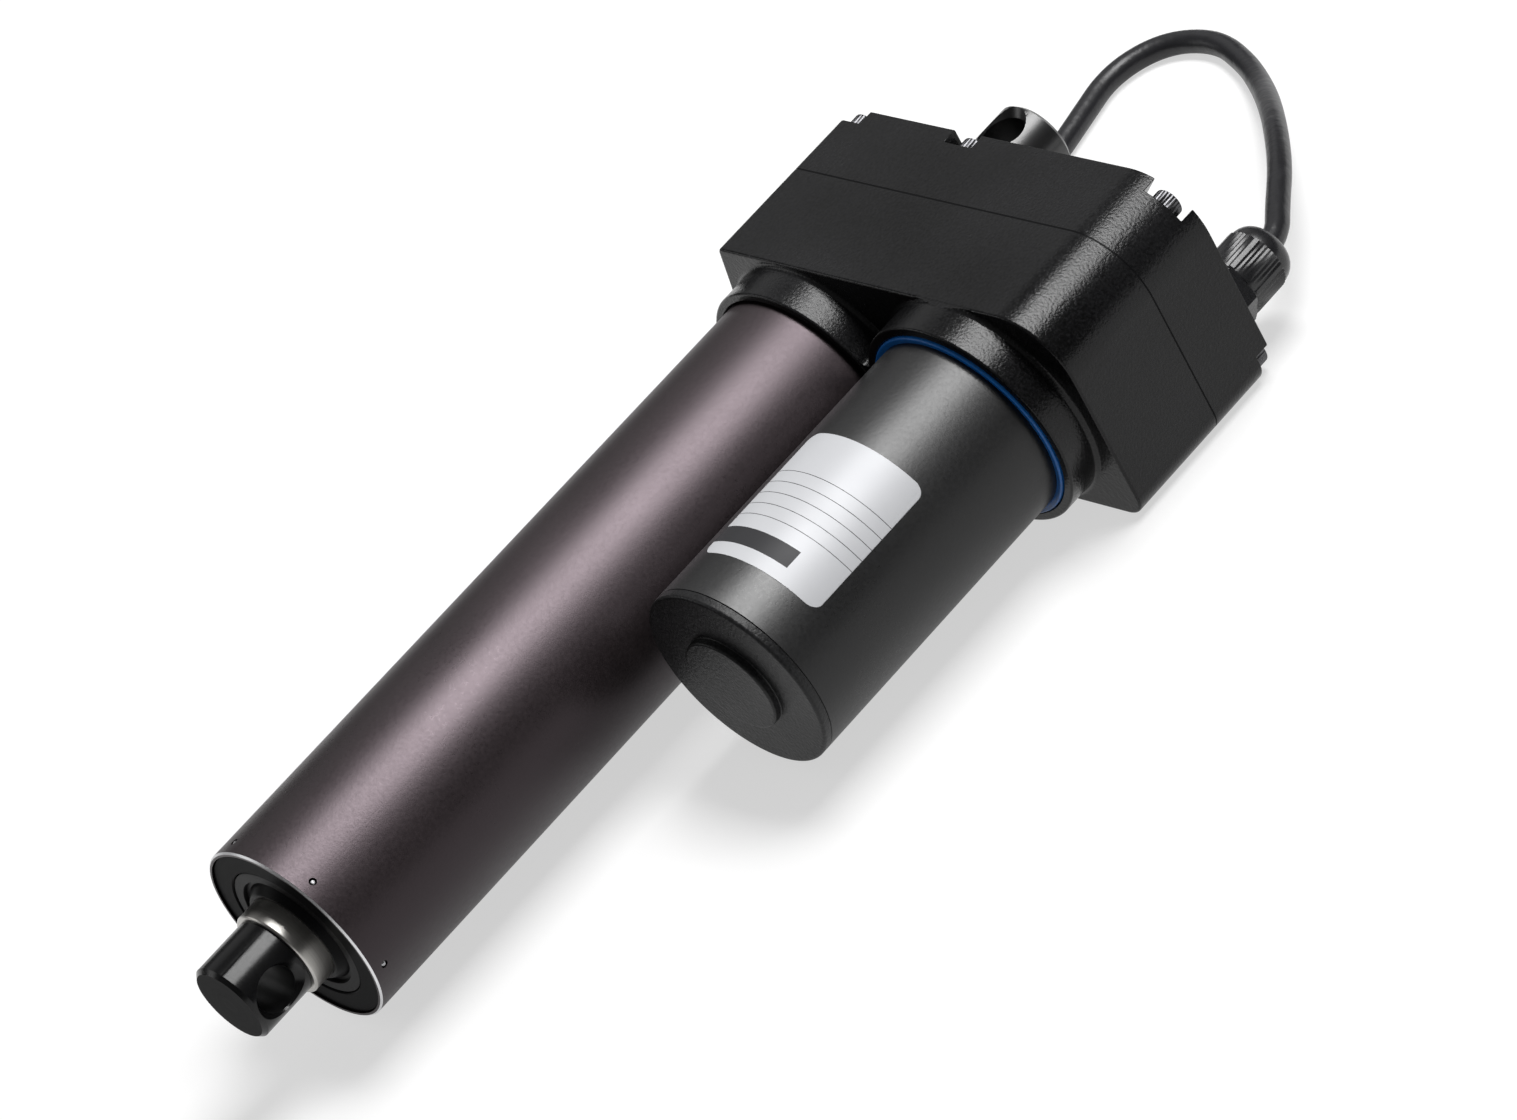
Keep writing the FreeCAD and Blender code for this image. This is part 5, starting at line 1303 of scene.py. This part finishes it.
def motor_seal():
    """The seal ring round the can, in the mouth of its collar."""
    begin, end = SEAL[0][0], SEAL[1][0]
    inner = CAN_RADIUS + PLAY
    profile = [(begin, inner), (begin, SEAL_RADIUS)]
    profile += arc(end - SEAL_ROUND, SEAL_RADIUS - SEAL_ROUND, SEAL_ROUND, 90, 0, steps=4)
    profile += [(end - SEAL_DISH, inner)]
    return polish(turn("motor_seal_ring", profile, MOTOR_AXIS, ring=True))


class ACTUATOR_OT_motor(bpy.types.Operator):
    """Turn the motor's can, end cap and blue seal"""
    bl_idname = "actuator.motor"
    bl_label = "Motor"

    def execute(self, context):
        dress(motor_can(), "black_motor_enamel", "motor_can")
        dress(motor_end_cap(), "black_cast_cap", "motor_end_cap")
        dress(motor_seal(), "blue_seal", "motor_seal")
        return {"FINISHED"}


# The plate's two long edges, as angles round the motor from the side away from the screw, up over its top
PLATE_LOW = math.radians(32)
PLATE_HIGH = math.radians(113)
PLATE_SUNK = mm(0.03)
PLATE_PROUD = mm(0.1)


def rating_plate():
    """A thin sheet with round corners, bent round the motor."""
    sizes = scene_sizes()
    begin = sizes.plate_start
    end = begin + sizes.plate_length
    half = CAN_RADIUS * math.sin((PLATE_HIGH - PLATE_LOW) / 2)
    profile = sleeve(begin, end, CAN_RADIUS - PLATE_SUNK, CAN_RADIUS + PLATE_PROUD)
    plate = turn("rating_plate", profile, MOTOR_AXIS, FINE_SIDES, True)
    outline = box("plate_outline", (begin, -half, 0), (end, half, CAN_RADIUS * 2))
    with editing(outline):
        round_edges(lambda a, b: abs(a.z - b.z) > CAN_RADIUS, sizes.plate_corner, steps=8)
    aim(outline, ((PLATE_LOW + PLATE_HIGH - math.pi) / 2, 0, 0), (0, *MOTOR_AXIS))
    return polish(combine(plate, [outline], "INTERSECT"))


class ACTUATOR_OT_rating_plate(bpy.types.Operator):
    """Lay the plain rating plate on the motor"""
    bl_idname = "actuator.rating_plate"
    bl_label = "Rating plate"

    def execute(self, context):
        plate = rating_plate()
        coat(plate, rating_foil(context.scene.actuator_colours))
        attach(plate, "actuator")
        return {"FINISHED"}


# Cable gland

GLAND_BORE = mm(5)
NUT_MOUTH = mm(4.2)
NUT_LIP = mm(0.9)
NUT_FLOOR = mm(1.75)
DOME = mm(5.5)
DOME_STEPS = 8
# The ribs are drawn as coarse as they need to show, in panels with plain strips between
RIB_SIDES = 96
RIB_DEPTH = mm(0.35)
RIB_HEIGHT = mm(0.4)
RIB_GAP = mm(0.5)
RIB_PANELS = 6
STRIP_HALF = mm(0.7)
SHOULDER_BACK = mm(0.6)
SHOULDER_IN = mm(0.5)


def gland_nut():
    """The nut: a dome with a hole for the lead, and ribs behind it."""
    begin, shoulder = GLAND_NUT[0][0], GLAND_NUT[1][0]
    radius = (GLAND_NUT[1][1] - GLAND_NUT[0][1]) / 2
    lip = NUT_MOUTH + NUT_LIP
    rim = radius - RIB_HEIGHT
    ribs = begin + DOME + RIB_GAP
    profile = [(begin, NUT_MOUTH), (begin, lip)]
    for step in range(1, DOME_STEPS + 1):
        angle = math.pi / 2 * step / DOME_STEPS
        profile.append((begin + DOME * (1 - math.cos(angle)), lip + (rim - lip) * math.sin(angle)))
    profile += [
        (ribs, rim),
        (ribs, radius),
        (shoulder - SHOULDER_BACK, radius),
        (shoulder, radius - SHOULDER_IN),
        (shoulder, GLAND_BORE),
        (begin + NUT_FLOOR, GLAND_BORE),
        (begin + NUT_FLOOR, NUT_MOUTH),
    ]
    nut = turn("gland_nut_ribbed", profile, GLAND_AXIS, RIB_SIDES, True)
    span = (ribs - NEAR, shoulder - SHOULDER_BACK + NEAR)
    flute(nut, GLAND_AXIS, radius, span, RIB_SIDES, RIB_DEPTH, RIB_PANELS, STRIP_HALF)
    return polish(nut)


HEX_BREAK = mm(0.25)
THREAD_ROOT = mm(0.5)
# The cone that chamfers the hexagon: it starts before its end and in from its corners, and ends out past them
CONE_BACK, CONE_IN = mm(0.35), mm(1.7)
CONE_FRONT, CONE_OUT = mm(0.7), mm(0.1)


def gland_body():
    """The hexagon with chamfered corners, its thread in the case and a bore for the lead."""
    shoulder, end = GLAND_NUT[1][0], GLAND_HEX[1][0]
    corner = (GLAND_HEX[1][1] - GLAND_HEX[0][1]) / 2
    hexagon = cylinder("gland_hexagon", shoulder, REAR_FACE, corner, GLAND_AXIS, HEXAGON)
    cone = turn("hexagon_chamfer", [
        (shoulder - CONE_BACK, corner - CONE_IN),
        (shoulder + CONE_FRONT, corner + CONE_OUT),
        (REAR_FACE + REACH, corner + CONE_OUT),
    ], GLAND_AXIS, HOLE_SIDES)
    combine(hexagon, [cone], "INTERSECT")
    thread = cylinder("gland_thread", REAR_FACE - THREAD_ROOT, end, GLAND_THREAD, GLAND_AXIS, GLAND_SIDES)
    combine(hexagon, [thread], "UNION")
    bore = cylinder("gland_bore", shoulder - REACH, end + REACH, GLAND_BORE, GLAND_AXIS, GLAND_SIDES)
    return polish(combine(hexagon, [bore]), HEX_BREAK)


class ACTUATOR_OT_cable_gland(bpy.types.Operator):
    """Model the gland's hexagon and its ribbed, domed nut"""
    bl_idname = "actuator.cable_gland"
    bl_label = "Cable gland"

    def execute(self, context):
        dress(gland_nut(), "black_nylon", "gland_nut")
        dress(gland_body(), "black_nylon", "gland_body")
        return {"FINISHED"}


# Lead, in millimetres

# Heights of the lead's middle: on the bench, and in the hank's two layers
BENCH = -31.5
LOWER = -30.7
UPPER = -23.7
# Out of the gland, down to the bench, round and back past the case
CABLE_ROUTE = [
    (-0.5, 92, -13.3), (-5.5, 91, -13.3), (-14, 84, -13), (-28.5, 73, -13),
    (-45, 55.5, -16.5), (-58.5, 38.5, -22.5), (-69.5, 23, -28.5), (-79, 8, BENCH),
    (-86, -10, BENCH), (-81, -28, BENCH), (-65, -36.5, BENCH), (-46, -32.5, BENCH),
    (-24, -28, BENCH), (2, -36, BENCH), (28, -42, BENCH), (54, -47.5, BENCH),
    (80, -50.5, LOWER), (101.2, -50.5, LOWER),
]
# Into the hank, from its lower layer up to its upper one, and out of it at the bare end
HANK_ENTRY = [(108, -50, LOWER), (118, -44, LOWER), (130, -33, LOWER), (145, -29.5, LOWER)]
HANK_CROSSING = [(210, -71.5, LOWER), (190, -71.5, -29), (165, -71.5, -25.8), (143, -71.5, UPPER)]
HANK_EXIT = [
    (212, -69.5, UPPER), (195, -64.3, UPPER), (175, -64, -26), (152, -64, -29.8),
    (135, -63.5, LOWER), (118, -59.5, LOWER), (108, -58, LOWER), (101.2, -57.9, LOWER),
]
HANK_MIDDLE = -50.5
FOLD_NEAR = 122.7
FOLD_FAR = 227.7
FOLD_STEPS = 6


def fold(centre, begin, end, height):
    """Points round one fold of the hank, every 30 degrees."""
    radius = scene_sizes().fold * 1000
    points = []
    for step in range(FOLD_STEPS + 1):
        angle = math.radians(begin + (end - begin) * step / FOLD_STEPS)
        points.append((centre + radius * math.cos(angle), HANK_MIDDLE + radius * math.sin(angle), height))
    return points


def hank_points():
    """Two turns of the folded lead, the second on top of the first."""
    near_run = HANK_MIDDLE + scene_sizes().fold * 1000
    lower_run = [(x, near_run, LOWER) for x in (175, 202)]
    upper_run = [(x, near_run, UPPER) for x in (148, 175, 202)]
    first = HANK_ENTRY + lower_run + fold(FOLD_FAR, 90, -90, LOWER) + HANK_CROSSING
    second = fold(FOLD_NEAR, 270, 90, UPPER) + upper_run + fold(FOLD_FAR, 90, -90, UPPER) + HANK_EXIT
    return first + second


def cable_lead():
    """The lead as one curve."""
    points = CABLE_ROUTE + hank_points()
    curve = bpy.data.curves.new("lead", "CURVE")
    curve.dimensions = "3D"
    spline = curve.splines.new("NURBS")
    spline.points.add(len(points) - 1)
    for point, place in zip(spline.points, points):
        point.co = (*[mm(value) for value in place], 1)
    spline.order_u = 3
    spline.use_endpoint_u = True
    curve.bevel_depth = scene_sizes().cable / 2
    curve.bevel_resolution = 6
    curve.resolution_u = 8
    curve.use_fill_caps = True
    lead = bpy.data.objects.new("cable_lead_sheath", curve)
    bpy.context.scene.collection.objects.link(lead)
    return lead


class ACTUATOR_OT_cable(bpy.types.Operator):
    """Lay the lead and the hank of its put-away length"""
    bl_idname = "actuator.cable"
    bl_label = "Cable"

    def execute(self, context):
        lead = dress(cable_lead(), "black_pvc", "cable_lead", "cable_hank")
        return {"FINISHED"}


class ACTUATOR_OT_inner_works(bpy.types.Operator):
    """Give the pieces that stay as the model has them their finishes"""
    bl_idname = "actuator.inner_works"
    bl_label = "Inner works"

    def execute(self, context):
        for part in frame["record"]["subparts"]:
            coat(frame["nodes"][part["node"]], FINISHES[part["material_slot"]])
        coat(frame["nodes"]["ball_screw"], screw_thread_steel())
        return {"FINISHED"}


# Stage

WHITE = (1, 1, 1, 1)
FLOOR_SIZE = 4
FLOOR_MIDDLE = 0.1
FLOOR_GLOW = 0.6
# The sky's strength from the horizon to overhead
SKY_LOW, SKY_HIGH = 0.05, 0.2
# Name, direction from the object, distance, size along and across the rod, and watts
LAMPS = [
    ("key", (-0.36, 0.13, 0.92), 2.5, (0.78, 1.5), 68),
    ("back", (-0.5, -0.8, 0.55), 1.6, (1.2, 0.8), 1.2),
    ("fill", (0.57, -0.73, 0.39), 1.6, (0.8, 0.5), 2),
]
# The photograph's camera
VIEW_PLACE = (0.9229, 1.4612, 1.1105)
VIEW_RIGHT = Vector((-0.62394, 0.66105, -0.41678))
VIEW_UP = Vector((-0.67667, -0.19023, 0.71128))
VIEW_LENS = 173.1
VIEW_SENSOR = 36
VIEW_FAR = 20
SUBJECT = Vector((0.12, 0.03, 0.0))


def floor_paper(colours):
    """Pale paper that reads as white to the eye and in reflections, and keeps the shadow."""
    material = tinted("paper_pale", colours.floor, (0.99, 1), rough=(0.8, 0.9), grain=1, relief=0.01,
                      specular=0.0)
    tree = material.node_tree
    ray = add_node(tree, "ShaderNodeLightPath").outputs
    seen = maths(tree, "MAXIMUM", ray["Is Camera Ray"], ray["Is Glossy Ray"])
    seen = maths(tree, "MAXIMUM", seen, ray["Is Transmission Ray"])
    glow = maths(tree, "MULTIPLY", seen, FLOOR_GLOW)
    set_inputs(tree, shader_of(material), {"Emission Color": WHITE, "Emission Strength": glow})
    return material


def lay_floor(colours):
    """The plain floor that the object lies on."""
    start()
    bpy.ops.mesh.primitive_plane_add(size=FLOOR_SIZE, location=(FLOOR_MIDDLE, 0, FLOOR))
    floor = named("floor")
    fix_place()
    floor.data.materials.append(floor_paper(colours))


def soft_light(name, direction, distance, size, power):
    """A rectangular lamp that faces the object from that direction."""
    towards = Vector(direction).normalized()
    bpy.ops.object.light_add(type="AREA", location=SUBJECT + towards * distance)
    lamp = named(name)
    side = towards.cross(Vector((1, 0, 0))).normalized()
    along = side.cross(towards)
    lamp.rotation_euler = Matrix((along, side, towards)).transposed().to_euler()
    lamp.data.shape = "RECTANGLE"
    lamp.data.size, lamp.data.size_y = size
    lamp.data.energy = power


def add_sky(scene):
    """A dim white sky, brighter overhead."""
    world = bpy.data.worlds.new("studio")
    scene.world = world
    world.use_nodes = True
    tree = world.node_tree
    place = add_node(tree, "ShaderNodeTexCoord").outputs["Generated"]
    up = split(tree, place)[2]
    level = add_node(tree, "ShaderNodeMapRange", {"Value": up, "To Min": SKY_LOW, "To Max": SKY_HIGH})
    set_inputs(tree, tree.nodes["Background"], {"Color": WHITE, "Strength": level.outputs["Result"]})


def add_camera(scene):
    """The camera that took the photograph."""
    backward = VIEW_RIGHT.cross(VIEW_UP)
    turned = Matrix((VIEW_RIGHT, VIEW_UP, backward)).transposed()
    bpy.ops.object.camera_add(location=VIEW_PLACE, rotation=turned.to_euler())
    camera = bpy.context.object
    camera.data.lens = VIEW_LENS
    camera.data.sensor_width = VIEW_SENSOR
    camera.data.clip_end = VIEW_FAR
    scene.camera = camera


class ACTUATOR_OT_stage(bpy.types.Operator):
    """Set up floor, lamps, sky and camera"""
    bl_idname = "actuator.stage"
    bl_label = "Stage"

    def execute(self, context):
        lay_floor(context.scene.actuator_colours)
        for lamp in LAMPS:
            soft_light(*lamp)
        add_sky(context.scene)
        add_camera(context.scene)
        context.scene.view_settings.view_transform = "Standard"
        return {"FINISHED"}


class ACTUATOR_PT_pieces(bpy.types.Panel):
    """Buttons for the pieces of the actuator"""
    bl_idname = "ACTUATOR_PT_pieces"
    bl_label = "Linear actuator"
    bl_space_type = "VIEW_3D"
    bl_region_type = "UI"
    bl_category = "Actuator"

    def draw(self, context):
        for operator in OPERATORS:
            self.layout.operator(operator.bl_idname)
        for group in (context.scene.actuator_sizes, context.scene.actuator_colours):
            for name in group.__annotations__:
                self.layout.prop(group, name)


OPERATORS = (
    ACTUATOR_OT_stage,
    ACTUATOR_OT_cable,
    ACTUATOR_OT_gear_case,
    ACTUATOR_OT_cover_screws,
    ACTUATOR_OT_rear_clevis,
    ACTUATOR_OT_cover_tube,
    ACTUATOR_OT_front_cap,
    ACTUATOR_OT_push_rod,
    ACTUATOR_OT_motor,
    ACTUATOR_OT_rating_plate,
    ACTUATOR_OT_cable_gland,
    ACTUATOR_OT_inner_works,
)
CLASSES = (ActuatorSizes, ActuatorColours, *OPERATORS, ACTUATOR_PT_pieces)


def register():
    for item in CLASSES:
        bpy.utils.register_class(item)
    bpy.types.Scene.actuator_sizes = bpy.props.PointerProperty(type=ActuatorSizes)
    bpy.types.Scene.actuator_colours = bpy.props.PointerProperty(type=ActuatorColours)


def unregister():
    del bpy.types.Scene.actuator_colours
    del bpy.types.Scene.actuator_sizes
    for item in reversed(CLASSES):
        bpy.utils.unregister_class(item)


def main():
    register()
    FINISHES.update(all_finishes())
    bpy.ops.actuator.stage()
    bpy.ops.actuator.cable()
    bpy.ops.actuator.gear_case()
    bpy.ops.actuator.cover_screws()
    bpy.ops.actuator.rear_clevis()
    bpy.ops.actuator.cover_tube()
    bpy.ops.actuator.front_cap()
    bpy.ops.actuator.push_rod()
    bpy.ops.actuator.motor()
    bpy.ops.actuator.rating_plate()
    bpy.ops.actuator.cable_gland()
    bpy.ops.actuator.inner_works()


if __name__ == "__main__":
    main()
